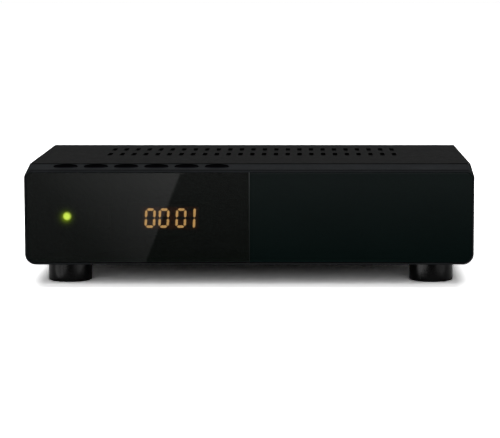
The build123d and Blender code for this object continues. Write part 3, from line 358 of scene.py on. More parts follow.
def key_black(colour):
    """Matt black caps, worn smoother in places, with a painted sheen: the colour is near black seen at a
    low angle and seven times lighter seen squarely.
    """
    finish = Finish("key_black", 0.75, specular=0.0)
    worn = finish.noise(3 * MM)
    low_look = finish.mottled(worn, shade(colour, 0.8), shade(colour, 1.4))
    # painted sheen: the base colour follows the angle of view, lighter the more squarely the cap is seen
    painted_lightening_seen_squarely = finish.mapped(finish.facing_away(), 1.0, 0.0, 0.35, 0.75, smooth=True)
    finish.set("Base Color", finish.blend(painted_lightening_seen_squarely, low_look, shade(colour, 7.0)))
    finish.rough(worn, 0.68, 0.8)
    finish.relief(finish.grains(0.25 * MM), 0.004 * MM)


def polished(name, colour):
    """A polished dark sheet with the faint haze of wiping."""
    finish = Finish(name, 0.04, specular=0.3, colour=colour)
    haze = finish.noise(22 * MM, 5.0)
    finish.tint(haze, shade(colour, 0.92), shade(colour, 1.08))
    finish.rough(haze, 0.012, 0.03)
    return finish


def from_light_axis(finish):
    """Distance from the axis of the power light."""
    return finish.vector("LENGTH", finish.place(centre_of("power_light"), (1, 0, 1)), result="Value")


def smoked_window(case, display):
    """Polished smoked sheet, with a painted glow round the power light: emission that falls off with
    distance from the light's axis.
    """
    finish = polished("smoked_window", case.window)
    finish.set("Alpha", case.window_density)
    # painted glow: the sheet itself is given emission, brightest next to the power light
    start, steps = LIGHT_RADIUS * 0.9, 8
    fall = finish.mapped(from_light_axis(finish), 0.0, -steps, start, start + steps * display.painted_glow_reach)
    finish.set("Emission Strength", finish.times(finish.maths("EXPONENT", fall), display.painted_glow_level))
    finish.set("Emission Color", (0.67, 1.0, 0.0))


def foot_black(colour):
    """Satin rubber, its side drawn by the mould, with a trace of dust."""
    finish = Finish("foot_black", 0.24, specular=0.08)
    drawn = finish.noise(0.8 * MM, scale=(1.0, 1.0, 0.06))
    dust_and_highlight = finish.noise(5 * MM, 4.0)
    finish.tint(dust_and_highlight, shade(colour, 0.8), shade(colour, 1.3))
    finish.rough(drawn, 0.2, 0.28)
    finish.relief(drawn, 0.006 * MM)


def plated(name, dark, light, roughness, size=2.5 * MM):
    """Bright plated metal, a little cloudy."""
    finish = Finish(name, roughness, metallic=1.0)
    cloud = finish.noise(size, 3.0)
    finish.tint(cloud, dark, light)
    finish.rough(cloud, roughness * 0.75, roughness * 1.3)
    finish.relief(finish.noise(size * 0.2), 0.003 * MM)


def moulded(name, dark, light, roughness, grain=0.4 * MM, specular=0.4):
    """A moulded or pressed body with a fine grain."""
    finish = Finish(name, roughness, specular=specular)
    finish.tint(finish.noise(grain * 12), dark, light)
    finish.rough(finish.noise(grain * 5), roughness * 0.85, roughness * 1.15)
    finish.relief(finish.grains(grain), 0.005 * MM)


def board_green(mask):
    """Green solder mask over bundles of copper tracks, along X in some fields and Y in others."""
    finish = Finish("board_green", 0.3)
    cells = {"Vector": finish.place(), "Scale": 1 / (9 * MM)}
    fields = finish.add("TexVoronoi", cells, distance="MANHATTAN")
    field = finish.add("SeparateColor", {"Color": fields.outputs["Color"]})
    wave = {"Vector": finish.place(), "Scale": 0.22 / MM, "Distortion": 0.0}
    bands = [finish.add("TexWave", wave, bands_direction=axis).outputs["Fac"] for axis in ("X", "Y")]
    turned_field = finish.maths("GREATER_THAN", field.outputs[0], 0.5)
    along = finish.add("Mix", {0: turned_field, 2: bands[0], 3: bands[1]}, data_type="FLOAT")
    track = finish.mapped(along.outputs[0], 0.0, 1.0, 0.55, 0.7)
    laid = finish.times(track, finish.maths("GREATER_THAN", field.outputs[1], 0.35))
    finish.set("Base Color", finish.blend(laid, shade(mask, 0.75), shade(mask, 1.5)))
    finish.rough(finish.noise(6 * MM), 0.24, 0.36)
    finish.relief(laid, 0.03 * MM)


def chip_epoxy():
    """Black moulding compound, matt and faintly speckled."""
    finish = Finish("chip_epoxy", 0.6, specular=0.35)
    speck = finish.grains(0.15 * MM)
    finish.tint(speck, (0.018, 0.018, 0.019), (0.035, 0.035, 0.036))
    finish.rough(finish.noise(2 * MM), 0.52, 0.68)
    finish.relief(speck, 0.004 * MM)


def capacitor_sleeve():
    """Dark blue shrink sleeve with a pale stripe down one side."""
    finish = Finish("capacitor_sleeve", 0.28)
    side = finish.parts(finish.add("NewGeometry").outputs["Normal"])["X"]
    stripe = finish.mapped(side, 0.0, 1.0, 0.93, 0.95)
    sleeve = finish.mottled(finish.noise(3 * MM), (0.010, 0.016, 0.05), (0.014, 0.022, 0.065))
    finish.set("Base Color", finish.blend(stripe, sleeve, (0.30, 0.32, 0.36)))
    finish.rough(finish.noise(1.5 * MM), 0.22, 0.34)


def display_body():
    """Black face of the display, with a painted glow: orange emission over the digits and a short way past
    them, standing in for their spilled light.
    """
    finish = Finish("display_body", 0.55, specular=0.3)
    finish.tint(finish.noise(2 * MM), grey(0.012), (0.02, 0.019, 0.018))
    low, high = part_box("display_digits")
    half = (high - low) / 2
    parts = finish.parts(finish.vector("ABSOLUTE", finish.place(centre_of("display_digits"))))
    # painted glow: emission on the face, strongest over the digits and fading past their edges
    core, reach, painted_spill = 0.3 * MM, 1.6 * MM, 0.38
    across = finish.mapped(parts["X"], 1.0, 0.0, half.x - core, half.x + reach, smooth=True)
    upward = finish.mapped(parts["Z"], 1.0, 0.0, half.z - core, half.z + reach, smooth=True)
    uneven = finish.mapped(finish.noise(2.2 * MM), 0.7, 1.3)
    finish.set("Emission Strength", finish.times(across, upward, uneven, painted_spill))
    finish.set("Emission Color", (1.0, 0.22, 0.01))


def lit(name, colour, strength, size):
    """A lit segment, a little uneven in brightness."""
    finish = Finish(name, 0.3, colour=shade(colour, 0.6))
    patch = finish.noise(size)
    finish.tint(patch, shade(colour, 0.5), shade(colour, 0.7))
    finish.set("Emission Color", colour)
    finish.set("Emission Strength", finish.mapped(patch, strength * 0.88, strength * 1.1))


def power_lens(display):
    """Green lens, brightest over the die in its middle."""
    finish = Finish("green_lit", 0.3, colour=shade(display.light, 0.5))
    start, end = LIGHT_RADIUS * 0.42, LIGHT_RADIUS * 1.17
    fade = finish.mapped(from_light_axis(finish), display.light_strength, 0.0, start, end, smooth=True)
    uneven = finish.mapped(finish.noise(0.8 * MM), 0.94, 1.06)
    finish.set("Emission Strength", finish.times(fade, uneven))
    finish.set("Emission Color", display.light)


def receiver_dark():
    """Infra-red filter resin: nearly black with a wine-red depth."""
    finish = Finish("receiver_dark", 0.12)
    finish.tint(finish.noise(1.5 * MM), (0.012, 0.005, 0.008), (0.02, 0.008, 0.012))
    finish.rough(finish.noise(3 * MM), 0.08, 0.2)


def sink_aluminium():
    """Extruded aluminium, drawn along the fins."""
    finish = Finish("sink_aluminium", 0.35, metallic=1.0)
    drawn = finish.noise(0.5 * MM, 3.0, scale=(1.0, 0.04, 1.0))
    finish.tint(drawn, (0.56, 0.57, 0.58), (0.68, 0.69, 0.70))
    finish.rough(drawn, 0.28, 0.42)
    finish.relief(drawn, 0.008 * MM)


# ---- shapes
def at(depth):
    """Y of a place this many millimetres behind the front face."""
    return FRONT + depth * MM


def centre_of(node, **fixed):
    """The middle of a solid's box, with some of its coordinates set."""
    low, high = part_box(node)
    centre = (low + high) / 2
    for axis, value in fixed.items():
        setattr(centre, axis, value)
    return centre


def move(bm, matrix):
    """Moves a whole shape."""
    bmesh.ops.transform(bm, matrix=matrix, verts=bm.verts)


def add_block(bm, low, high, bevel=0.0, segments=2):
    """A box between two corners, its edges rounded."""
    low, high = Vector(low), Vector(high)
    placed = Matrix.LocRotScale((low + high) / 2, None, high - low)
    made = bmesh.ops.create_cube(bm, size=1.0, matrix=placed)
    if bevel:
        edges = list(dict.fromkeys(edge for vert in made["verts"] for edge in vert.link_edges))
        bmesh.ops.bevel(
            bm, geom=edges, offset=bevel, affect="EDGES", segments=segments, profile=0.5, material=-1,
            clamp_overlap=True,
        )


def turned(profile, steps=24):
    """A shape turned about Z: points (radius, height), both ends on the axis or the same."""
    bm = bmesh.new()
    verts = [bm.verts.new((radius, 0, height)) for radius, height in profile]
    edges = [bm.edges.new(pair) for pair in zip(verts, verts[1:])]
    bmesh.ops.spin(
        bm, geom=verts + edges, cent=(0, 0, 0), axis=UP, angle=2 * math.pi, steps=steps, use_merge=True
    )
    bmesh.ops.remove_doubles(bm, verts=bm.verts, dist=1e-7)
    bmesh.ops.recalc_face_normals(bm, faces=bm.faces)
    return bm


def raise_faces(bm, faces, height):
    """Makes a solid of flat faces, by raising a copy of them."""
    made = bmesh.ops.extrude_face_region(bm, geom=faces)
    raised = [item for item in made["geom"] if isinstance(item, bmesh.types.BMVert)]
    bmesh.ops.translate(bm, verts=raised, vec=(0, 0, height))
    bmesh.ops.recalc_face_normals(bm, faces=bm.faces)


def add_prism(bm, outline, low, high):
    """An outline of (x, y) points, raised from one height to another."""
    face = bm.faces.new([bm.verts.new((x, y, low)) for x, y in outline])
    raise_faces(bm, [face], high - low)


def add_frame(bm, size, rim, low, high):
    """A rectangular ring about Z: outer size, rim, and two heights."""
    placed = Matrix.Translation((0, 0, low)) @ Matrix.Diagonal((*size, 1, 1))
    grid = bmesh.ops.create_grid(bm, x_segments=1, y_segments=1, size=0.5, matrix=placed)
    middle = grid["verts"][0].link_faces[0]
    ring = bmesh.ops.inset_region(
        bm, faces=[middle], thickness=rim, use_boundary=True, use_even_offset=True
    )["faces"]
    bmesh.ops.delete(bm, geom=[middle], context="FACES")
    raise_faces(bm, ring, high - low)


def add_copies(bm, part, places):
    """Copies of a small shape at several places, each a matrix."""
    mesh = bpy.data.meshes.new("copied_part")
    part.to_mesh(mesh)
    part.free()
    for place in places:
        copy = mesh.copy()
        copy.transform(place)
        bm.from_mesh(copy)
        bpy.data.meshes.remove(copy)
    bpy.data.meshes.remove(mesh)


def standing(point, axis):
    """A matrix that puts a shape's Z along an axis, at a point."""
    return Matrix.Translation(point) @ UP.rotation_difference(axis).to_matrix().to_4x4()


def facing(point, outward):
    """A matrix that puts a shape's X along a level direction and its Y up, at a point."""
    turn = Matrix((outward, UP, outward.cross(UP))).transposed()
    return Matrix.Translation(point) @ turn.to_4x4()


def spaced(count, pitch):
    """Places about 0 that lie this far apart."""
    return [(index - (count - 1) / 2) * pitch for index in range(count)]


def object_of(name, bm, material):
    """An object of a bmesh, in one material."""
    mesh = bpy.data.meshes.new(name)
    bm.to_mesh(mesh)
    bm.free()
    mesh.materials.append(material)
    obj = bpy.data.objects.new(name, mesh)
    bpy.context.scene.collection.objects.link(obj)
    return obj


def new_piece(name, bm, slot, finish=None):
    """Makes a piece of the case from a bmesh, in its own finish or the finish named by its slot."""
    piece = object_of(name, bm, bpy.data.materials[finish or slot])
    piece.data.shade_smooth()
    piece.data.set_sharp_from_angle(angle=SMOOTH_BELOW)
    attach(piece, "case")


def copied_piece(name, part, places, slot, finish=None):
    """Makes a piece of copies of a small shape."""
    bm = bmesh.new()
    add_copies(bm, part, places)
    new_piece(name, bm, slot, finish)


# ---- fine pieces
def plate_joint():
    """The bead between the window and the blank plate, with a painted highlight that grows paler toward its
    top.
    """
    low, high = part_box("display_window")
    seam_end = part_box("blank_plate")[0].x
    recess = 0.15 * MM
    bm = bmesh.new()
    add_block(bm, (high.x, low.y + recess, low.z), (seam_end, high.y, high.z))
    finish = Finish("joint_bead", 0.5, specular=0.04)
    # painted highlight: the bead is painted paler toward its top, as a light line between the plates
    height = finish.maths("POWER", finish.mapped(finish.parts()["Z"], 0.0, 1.0, low.z, high.z), 2.0)
    dust_and_highlight = finish.times(height, finish.mapped(finish.noise(4 * MM), 0.85, 1.15))
    finish.set("Base Color", finish.blend(dust_and_highlight, (0.006, 0.007, 0.007), (0.064, 0.069, 0.068)))
    finish.relief(finish.noise(0.6 * MM), 0.01 * MM)
    new_piece("plate_joint", bm, "moulding_black", "joint_bead")


def display_face():
    """A matrix that lays a flat shape on the display's face, X right and Y up."""
    return facing(centre_of("display_module", y=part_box("display_module")[0].y), RIGHT)


def add_segment(bm, start, end):
    """A pointed segment of the display, between two points (x, y) of its face."""
    start, end = Vector(start), Vector(end)
    along = (end - start).normalized() * DIGIT_STROKE / 2
    across = Vector((-along.y, along.x))
    near, far = start + along, end - along
    outline = [start, near + across, far + across, end, far - across, near - across]
    add_prism(bm, outline, 0.0, UNLIT_RELIEF)


def unlit_segments():
    """The segments and dots of the display that stay dark."""
    half = DIGIT_STROKE / 2
    reach = DIGIT_HEIGHT / 2 - half
    bars = [(left, 0.0) for left in ZERO_STARTS]
    bars += [(ONE_CELL_START, height) for height in (-reach, 0.0, reach)]
    bm = bmesh.new()
    for left, height in bars:
        start, end = left + half + DIGIT_BREAK, left + DIGIT_WIDTH - half - DIGIT_BREAK
        add_segment(bm, (start, height), (end, height))
    for side in (-1, 1):
        x = ONE_CELL_START + half
        add_segment(bm, (x, side * DIGIT_BREAK), (x, side * (reach - DIGIT_BREAK)))
    edge, crown = (half, UNLIT_RELIEF * 0.6), (half * 0.6, UNLIT_RELIEF)
    dot = turned([(0, 0), (half, 0), edge, crown, (0, UNLIT_RELIEF)])
    add_copies(bm, dot, [Matrix.Translation((COLON_X, side * reach / 2, 0)) for side in (-1, 1)])
    slanted = Matrix.Identity(4)
    slanted[0][1] = DIGIT_SLANT
    move(bm, display_face() @ slanted)
    moulded("segment_unlit", (0.030, 0.028, 0.025), (0.042, 0.038, 0.034), 0.4, specular=0.2)
    new_piece("display_unlit_segments", bm, "display_body", "segment_unlit")


def display_frame(rim):
    """The raised rim round the face of the display."""
    low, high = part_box("display_module")
    rise = 0.28 * MM
    bm = bmesh.new()
    add_frame(bm, (high.x - low.x, high.z - low.z), rim, 0.0, rise)
    move(bm, display_face())
    moulded("display_rim", grey(0.010), grey(0.016), 0.5, specular=0.2)
    new_piece("display_frame", bm, "display_body", "display_rim")


def light_spacer():
    """The black collar that holds the power light off its board."""
    low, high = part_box("power_light")
    inset, free = 1.5 * MM, 1.1 * MM  # from the lens, and from the board
    length = high.y - low.y - inset - free
    inner, outer, edge = LIGHT_RADIUS + 0.06 * MM, (high.x - low.x) / 2, 0.25 * MM
    outside = [(outer - edge, 0.0), (outer, edge), (outer, length)]
    bm = turned([(inner, 0.0), *outside, (inner, length), (inner, 0.0)], 32)
    move(bm, standing(centre_of("power_light", y=low.y + inset), BACK))
    moulded("light_spacer", (0.010, 0.010, 0.011), (0.017, 0.017, 0.018), 0.5)
    new_piece("light_spacer", bm, "socket_black", "light_spacer")


def receiver_shield():
    """The folded tin strap round the remote-control receiver."""
    low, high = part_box("remote_receiver")
    strap, start, end = 0.3 * MM, 0.1 * MM, 3.0 * MM
    around = 2 * strap + 0.1 * MM
    bm = bmesh.new()
    add_frame(bm, (high.x - low.x + around, high.z - low.z + around), strap, start, end)
    move(bm, facing(centre_of("remote_receiver", y=high.y), RIGHT))
    new_piece("receiver_shield", bm, "tin_plate")


def switch_plates():
    """The tin plate that closes each key switch, with its four rivets."""
    low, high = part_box("switch_bodies")
    size = high.y - low.y
    plate, rim, sheet = size * 0.9, size * 0.14, 0.14 * MM
    rivet_place, rivet_half, rivet_top = size * 0.38, 0.3 * MM, 0.30 * MM
    bm = bmesh.new()
    add_frame(bm, (plate, plate), rim, 0.0, sheet)
    for x in (-rivet_place, rivet_place):
        for y in (-rivet_place, rivet_place):
            start = (x - rivet_half, y - rivet_half, sheet)
            add_block(bm, start, (x + rivet_half, y + rivet_half, rivet_top), 0.05 * MM)
    plungers = [name for name in frame["nodes"] if name.endswith("_plunger")]
    places = [Matrix.Translation(centre_of(name, z=high.z)) for name in plungers]
    copied_piece("switch_plates", bm, places, "tin_plate")


def gull_pin(width, drop):
    """A chip's pin: outward along X, down by this much, and flat on the board."""
    sheet, reach, foot, bend, root = 0.15 * MM, 1.15 * MM, 0.5 * MM, 0.35 * MM, -0.1 * MM
    slope = sheet * 0.6
    upper = [(root, drop - sheet), (root, drop), (bend, drop), (reach - foot, sheet), (reach, sheet)]
    lower = [(reach, 0), (reach - foot - slope, 0), (bend - slope, drop - sheet)]
    bm = bmesh.new()
    add_prism(bm, upper + lower, -width / 2, width / 2)
    return bm


def pin_rows(name, sides, drop):
    """Rows of a chip's pins, each about a point and facing outward."""
    places = [
        facing(point + outward.cross(UP) * shift, outward)
        for point, outward in sides
        for shift in spaced(PINS_IN_ROW, PIN_PITCH)
    ]
    copied_piece(name, gull_pin(PIN_WIDTH, drop), places, "tin_plate")


def chip_pins():
    """The pins of the processor, on four sides, and of the memory chips, on two."""
    low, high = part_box("processor_chip")
    middle = centre_of("processor_chip", z=low.z)
    half = (high.x - low.x) / 2
    sides = [(middle + outward * half, outward) for outward in (RIGHT, -RIGHT, BACK, FORWARD)]
    pin_rows("processor_pins", sides, (high.z - low.z) * 0.45)
    low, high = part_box("memory_chips")
    middles = (low.y + MEMORY_LENGTH / 2, high.y - MEMORY_LENGTH / 2)
    flanks = ((low.x, -RIGHT), (high.x, RIGHT))
    sides = [(Vector((x, y, low.z)), outward) for y in middles for x, outward in flanks]
    pin_rows("memory_pins", sides, (high.z - low.z) * 0.5)


def small_parts(length):
    """Rows of small resistors and capacitors, with tin ends, in fields of the main board."""
    width, height, end = length * 0.6, length * 0.3, length * 0.2
    quarter_turn = Matrix.Rotation(math.pi / 2, 4, "Z")
    resistors, capacitors = [], []
    for left, right, front, back in PART_FIELDS:
        for column in range(int((right - left) / PART_COLUMN)):
            for row in range(int((back - front) / PART_ROW)):
                choice = (column * 5 + row * 3 + left) % 7
                if choice in (2, 6):  # places that stay empty
                    continue
                x, depth = left + PART_MARGIN + column * PART_COLUMN, front + PART_MARGIN + row * PART_ROW
                place = Matrix.Translation((x * MM, at(depth), BOARD_TOP))
                kind = resistors if choice % 2 else capacitors
                kind.append(place if choice % 3 else place @ quarter_turn)
    for name, places, rise, finish in (
        ("resistor", resistors, height, "chip_epoxy"),
        ("ceramic_capacitor", capacitors, height * 1.6, "small_ceramic"),
    ):
        body, ends = bmesh.new(), bmesh.new()
        middle, half = length / 2 - end, width / 2
        add_block(body, (-middle, -half, 0), (middle, half, rise), 0.05 * MM, 1)
        wide, tall = half + 0.04 * MM, rise + 0.03 * MM
        for start, stop in ((-length / 2, -middle), (middle, length / 2)):
            add_block(ends, (start, -wide, 0), (stop, wide, tall), 0.08 * MM, 1)
        copied_piece(f"{name}_bodies", body, places, "chip_epoxy", finish)
        copied_piece(f"{name}_ends", ends, places, "tin_plate")


def add_centred(bm, spot, half_width, half_depth, low, high, bevel, segments=2):
    """A box about a spot, from one height over it to another, in millimetres."""
    start, end = Vector((-half_width, -half_depth, low)) * MM, Vector((half_width, half_depth, high)) * MM
    add_block(bm, spot + start, spot + end, bevel * MM, segments)


def crystal_cans():
    """Two drawn cans that hold the clock crystals, each on its flange."""
    bm = bmesh.new()
    for x in CRYSTAL_XS:
        spot = Vector((x * MM, at(CRYSTAL_DEPTH), BOARD_TOP))
        add_centred(bm, spot, 5.1, 1.9, 0.5, 3.9, 0.9, 4)
        add_centred(bm, spot, 5.6, 2.4, 0.0, 0.7, 0.3)
    new_piece("crystal_cans", bm, "shell_nickel")


def regulators():
    """Two regulators: a moulded body on a tin tab, with three legs."""
    body_half, tab_half, leg_pitch = 3.0, 0.8, 2.3
    bodies, metal = bmesh.new(), bmesh.new()
    for depth in REGULATOR_DEPTHS:
        spot = Vector((REGULATOR_X * MM, at(depth), BOARD_TOP))
        behind = spot + BACK * (body_half + tab_half) * MM
        add_centred(bodies, spot, 3.2, body_half, 0.2, 2.4, 0.3)
        add_centred(metal, behind, 2.7, tab_half, 0.0, 0.5, 0.1)
        legs = [facing(spot + Vector((x, -body_half, 0)) * MM, FORWARD) for x in spaced(3, leg_pitch)]
        add_copies(metal, gull_pin(0.7 * MM, 1.2 * MM), legs)
    new_piece("regulator_bodies", bodies, "chip_epoxy")
    new_piece("regulator_metal", metal, "tin_plate")


def capacitor_tops():
    """The bare aluminium top of each capacitor, scored with a cross."""
    sleeve_rim, disc_rise, score_half = 0.75 * MM, 0.1 * MM, 0.09 * MM
    score_low, score_high = 0.05 * MM, 0.115 * MM
    discs, scores = bmesh.new(), bmesh.new()
    for x, depth, radius, height, _ in CAPACITORS:
        inner = radius * MM - sleeve_rim
        rim = [(inner, 0), (inner, 0.04 * MM), (inner - 0.12 * MM, disc_rise)]
        place = Matrix.Translation((x * MM, at(depth), BOARD_TOP + height * MM))
        add_copies(discs, turned([(0, 0), *rim, (0, disc_rise)], 32), [place])
        arm = inner * 0.72
        cross = bmesh.new()
        for across, along in ((arm, score_half), (score_half, arm)):
            add_block(cross, (-across, -along, score_low), (across, along, score_high))
        add_copies(scores, cross, [place @ Matrix.Rotation(x * 0.3, 4, "Z")])
    new_piece("capacitor_tops", discs, "sink_aluminium")
    new_piece("capacitor_scores", scores, "chip_epoxy")


def coil_windings():
    """Lacquered copper wire round the waist of each power coil."""
    low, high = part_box("power_coils")
    radius = (high.x - low.x) / 2
    wire, waist = 0.33 * MM, radius - 1.0 * MM
    angles = [index * math.pi / 4 for index in range(9)]
    round_wire = [(waist + wire + wire * math.cos(turn), wire * math.sin(turn)) for turn in angles]
    middle = centre_of("power_coils")
    places = [
        Matrix.Translation((middle.x, y, middle.z + shift))
        for y in (low.y + radius, high.y - radius)
        for shift in spaced(6, 2 * wire)
    ]
    plated("coil_wire", (0.42, 0.13, 0.045), (0.60, 0.22, 0.08), 0.3)
    copied_piece("coil_windings", turned(round_wire, 36), places, "ferrite", "coil_wire")


def solder_joints(radius):
    """Rows of soldered pins under the main board and behind the front board."""
    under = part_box("main_board")[0].z
    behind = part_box("front_board")[1].y
    foot = [(0, 0), (radius, 0), (radius * 0.6, radius * 0.35), (radius * 0.36, radius * 0.9)]
    profile = [*foot, (radius * 0.28, radius * 1.1), (0, radius * 1.1)]
    leads = [(x, depth, 2, pitch) for x, depth, _, _, pitch in CAPACITORS]
    places = []
    for x, depth, count, pitch in (*SOLDERED_ROWS, *leads):
        size = Matrix.Scale(min(1.0, pitch * 0.42 * MM / radius), 4)
        places += [
            standing(((x + shift) * MM, at(depth), under), -UP) @ size for shift in spaced(count, pitch)
        ]
    places += [
        standing(((FRONT_PINS_X + shift) * MM, behind, height * MM), BACK) @ Matrix.Scale(0.7, 4)
        for height in FRONT_PIN_HEIGHTS
        for shift in spaced(12, 2.2)
    ]
    copied_piece("solder_joints", turned(profile, 12), places, "tin_plate")


def tongue_contacts():
    """Gold contacts on the tongues of the two small sockets, above and below."""
    low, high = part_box("socket_tongues")
    start, end = low.y + 3.2 * MM, high.y - 0.5 * MM
    foil = 0.06
    bm = bmesh.new()
    for x, top, thickness, count, pitch, width in TONGUES:
        for left in (x + shift - width / 2 for shift in spaced(count, pitch)):
            for face in (top, top - thickness - foil):
                right, over = (left + width) * MM, (face + foil) * MM
                add_block(bm, (left * MM, start, face * MM), (right, end, over), 0.02 * MM, 1)
    new_piece("tongue_contacts", bm, "contact_gold")


def tuner_details():
    """Fingers along the lid of the tuner, and the dimples pressed into its top."""
    low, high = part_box("tuner_lid")
    middle = centre_of("tuner_lid", z=high.z)
    thickness, half_width = 0.25 * MM, 1.5 * MM
    bottom, top = low.z + 0.4 * MM, high.z - 0.6 * MM
    bm = bmesh.new()
    for shift in spaced(7, 5.0 * MM):
        start, end = middle.y + shift - half_width, middle.y + shift + half_width
        for near, far in ((low.x - thickness, low.x), (high.x, high.x + thickness)):
            add_block(bm, (near, start, bottom), (far, end, top), 0.1 * MM)
    dimple = turned([(0, 0), (1.6 * MM, 0), (1.2 * MM, 0.22 * MM), (0.5 * MM, 0.3 * MM), (0, 0.3 * MM)])
    spots = [Vector((x, y, 0)) for x in spaced(2, 10 * MM) for y in spaced(3, 11 * MM)]
    add_copies(bm, dimple, [Matrix.Translation(middle + spot) for spot in spots])
    new_piece("tuner_details", bm, "tin_plate")


# ---- operators
class RECEIVER_OT_case(bpy.types.Operator):
    """Finish the cover, the tray and their screws"""

    bl_idname = "receiver.case"
    bl_label = "Case"

    def execute(self, context):
        case = context.scene.receiver_case
        powder_coat("cover_paint", case.cover, "top_cover")
        powder_coat("tray_paint", case.tray, "chassis_tray")
        moulded("screw_black", grey(0.012), grey(0.03), 0.35)
        plated("screw_zinc", (0.52, 0.53, 0.54), (0.66, 0.66, 0.63), 0.28)
        return {"FINISHED"}


class RECEIVER_OT_front(bpy.types.Operator):
    """Finish the front moulding, its two plates and the keys"""

    bl_idname = "receiver.front"
    bl_label = "Front"

    def execute(self, context):
        case = context.scene.receiver_case
        moulding_black(case.moulding)
        smoked_window(case, context.scene.receiver_display)
        polished("gloss_black", case.blank)
        key_black(case.keys)
        plate_joint()
        return {"FINISHED"}


class RECEIVER_OT_feet(bpy.types.Operator):
    """Finish the feet"""

    bl_idname = "receiver.feet"
    bl_label = "Feet"

    def execute(self, context):
        foot_black(context.scene.receiver_case.feet)
        return {"FINISHED"}


class RECEIVER_OT_display(bpy.types.Operator):
    """Finish the display and the power light"""

    bl_idname = "receiver.display"
    bl_label = "Display and light"

    def execute(self, context):
        display = context.scene.receiver_display
        display_body()
        lit("amber_lit", display.digits, display.digit_strength, 1.2 * MM)
        power_lens(display)
        receiver_dark()
        unlit_segments()
        display_frame(display.rim)
        light_spacer()
        return {"FINISHED"}


class RECEIVER_OT_boards(bpy.types.Operator):
    """Finish the boards and what stands on them"""

    bl_idname = "receiver.boards"
    bl_label = "Boards"

    def execute(self, context):
        boards = context.scene.receiver_boards
        board_green(boards.mask)
        plated("standoff_brass", (0.62, 0.42, 0.16), (0.76, 0.56, 0.25), 0.3)
        moulded("switch_grey", (0.05, 0.05, 0.052), (0.075, 0.075, 0.077), 0.5)
        moulded("header_cream", (0.60, 0.55, 0.40), (0.68, 0.63, 0.48), 0.45)
        chip_epoxy()
        sink_aluminium()
        capacitor_sleeve()
        moulded("ferrite", (0.045, 0.045, 0.047), (0.075, 0.074, 0.072), 0.7, grain=0.2 * MM)
        plated("tin_plate", (0.55, 0.56, 0.57), (0.67, 0.67, 0.66), 0.32, 9 * MM)
        plated("shell_nickel", (0.58, 0.57, 0.54), (0.70, 0.68, 0.64), 0.22)
        moulded("small_ceramic", (0.30, 0.20, 0.11), (0.40, 0.28, 0.16), 0.4, grain=0.2 * MM)
        receiver_shield()
        switch_plates()
        chip_pins()
        small_parts(boards.small_part)
        crystal_cans()
        regulators()
        capacitor_tops()
        coil_windings()
        solder_joints(boards.joint)
        return {"FINISHED"}


class RECEIVER_OT_sockets(bpy.types.Operator):
    """Finish the rear sockets and the tuner"""

    bl_idname = "receiver.sockets"
    bl_label = "Sockets"

    def execute(self, context):
        moulded("socket_black", (0.012, 0.012, 0.013), (0.018, 0.018, 0.019), 0.4)
        moulded("tongue_white", (0.60, 0.60, 0.57), (0.70, 0.70, 0.66), 0.4)
        moulded("insulator_white", (0.74, 0.74, 0.70), (0.82, 0.82, 0.78), 0.5)
        plated("contact_gold", (0.80, 0.53, 0.18), (0.88, 0.63, 0.26), 0.25)
        tongue_contacts()
        tuner_details()
        return {"FINISHED"}


def stage_sheet(name, low, high, height, material):
    """A flat sheet of the stage, lying level."""
    low, high = Vector((*low, height)), Vector((*high, height))
    placed = Matrix.LocRotScale((low + high) / 2, None, high - low)
    bm = bmesh.new()
    bmesh.ops.create_grid(bm, x_segments=1, y_segments=1, size=0.5, matrix=placed)
    sheet = object_of(name, bm, material)
    return sheet


def mirrored_sheet(*given):
    """A sheet of the stage that only glossy rays see."""
    sheet = stage_sheet(*given)
    for others in ("camera", "diffuse", "transmission", "volume_scatter", "shadow"):
        setattr(sheet, f"visible_{others}", False)


class StageMaterial(Shading):
    """A material of the stage, which ends in a shader of another kind."""

    def __init__(self, name, kind):
        self.material = bpy.data.materials.new(name)
        super().__init__(self.material, "Principled BSDF")
        self.tree.nodes.remove(self.shader)
        self.shader = self.add(kind)
        self.show(self.shader)

    def show(self, node):
        """Ends the material in this node."""
        self.put(self.tree.nodes["Material Output"], {"Surface": node.outputs[0]})

    def clear_from_above(self, start, end):
        """Shows the surface only to rays that run along it, between two turns of it."""
        share = self.mapped(self.facing_away(), 0.0, 1.0, start, end)
        clear = self.add("BsdfTransparent").outputs[0]
        self.show(self.add("MixShader", {0: share, 1: clear, 2: self.shader.outputs[0]}))


def rays_of(shading):
    """Whether a ray comes from the camera, and whether by way of gloss or glass."""
    rays = shading.add("LightPath").outputs
    return rays["Is Camera Ray"], shading.maths("ADD", rays["Is Glossy Ray"], rays["Is Transmission Ray"])


def floor_material(stage):
    """White paper that keeps the shadow, paler to the eye far from the lamps."""
    finish = StageMaterial("stage_floor", "BsdfDiffuse")
    away = finish.vector("LENGTH", finish.place(), result="Value")
    seen = finish.mapped(away, stage.floor_seen, 4.0 * stage.floor_seen, 0.8, 2.6)
    from_camera, mirrored = rays_of(finish)
    mirrored_part = finish.times(mirrored, 1.0 - stage.floor_lit)
    seen_part = finish.times(from_camera, finish.maths("SUBTRACT", seen, stage.floor_lit))
    shown = finish.maths("ADD", finish.maths("ADD", mirrored_part, seen_part), stage.floor_lit)
    finish.set("Color", finish.add("CombineColor", {0: shown, 1: shown, 2: shown}).outputs[0])
    return finish.material


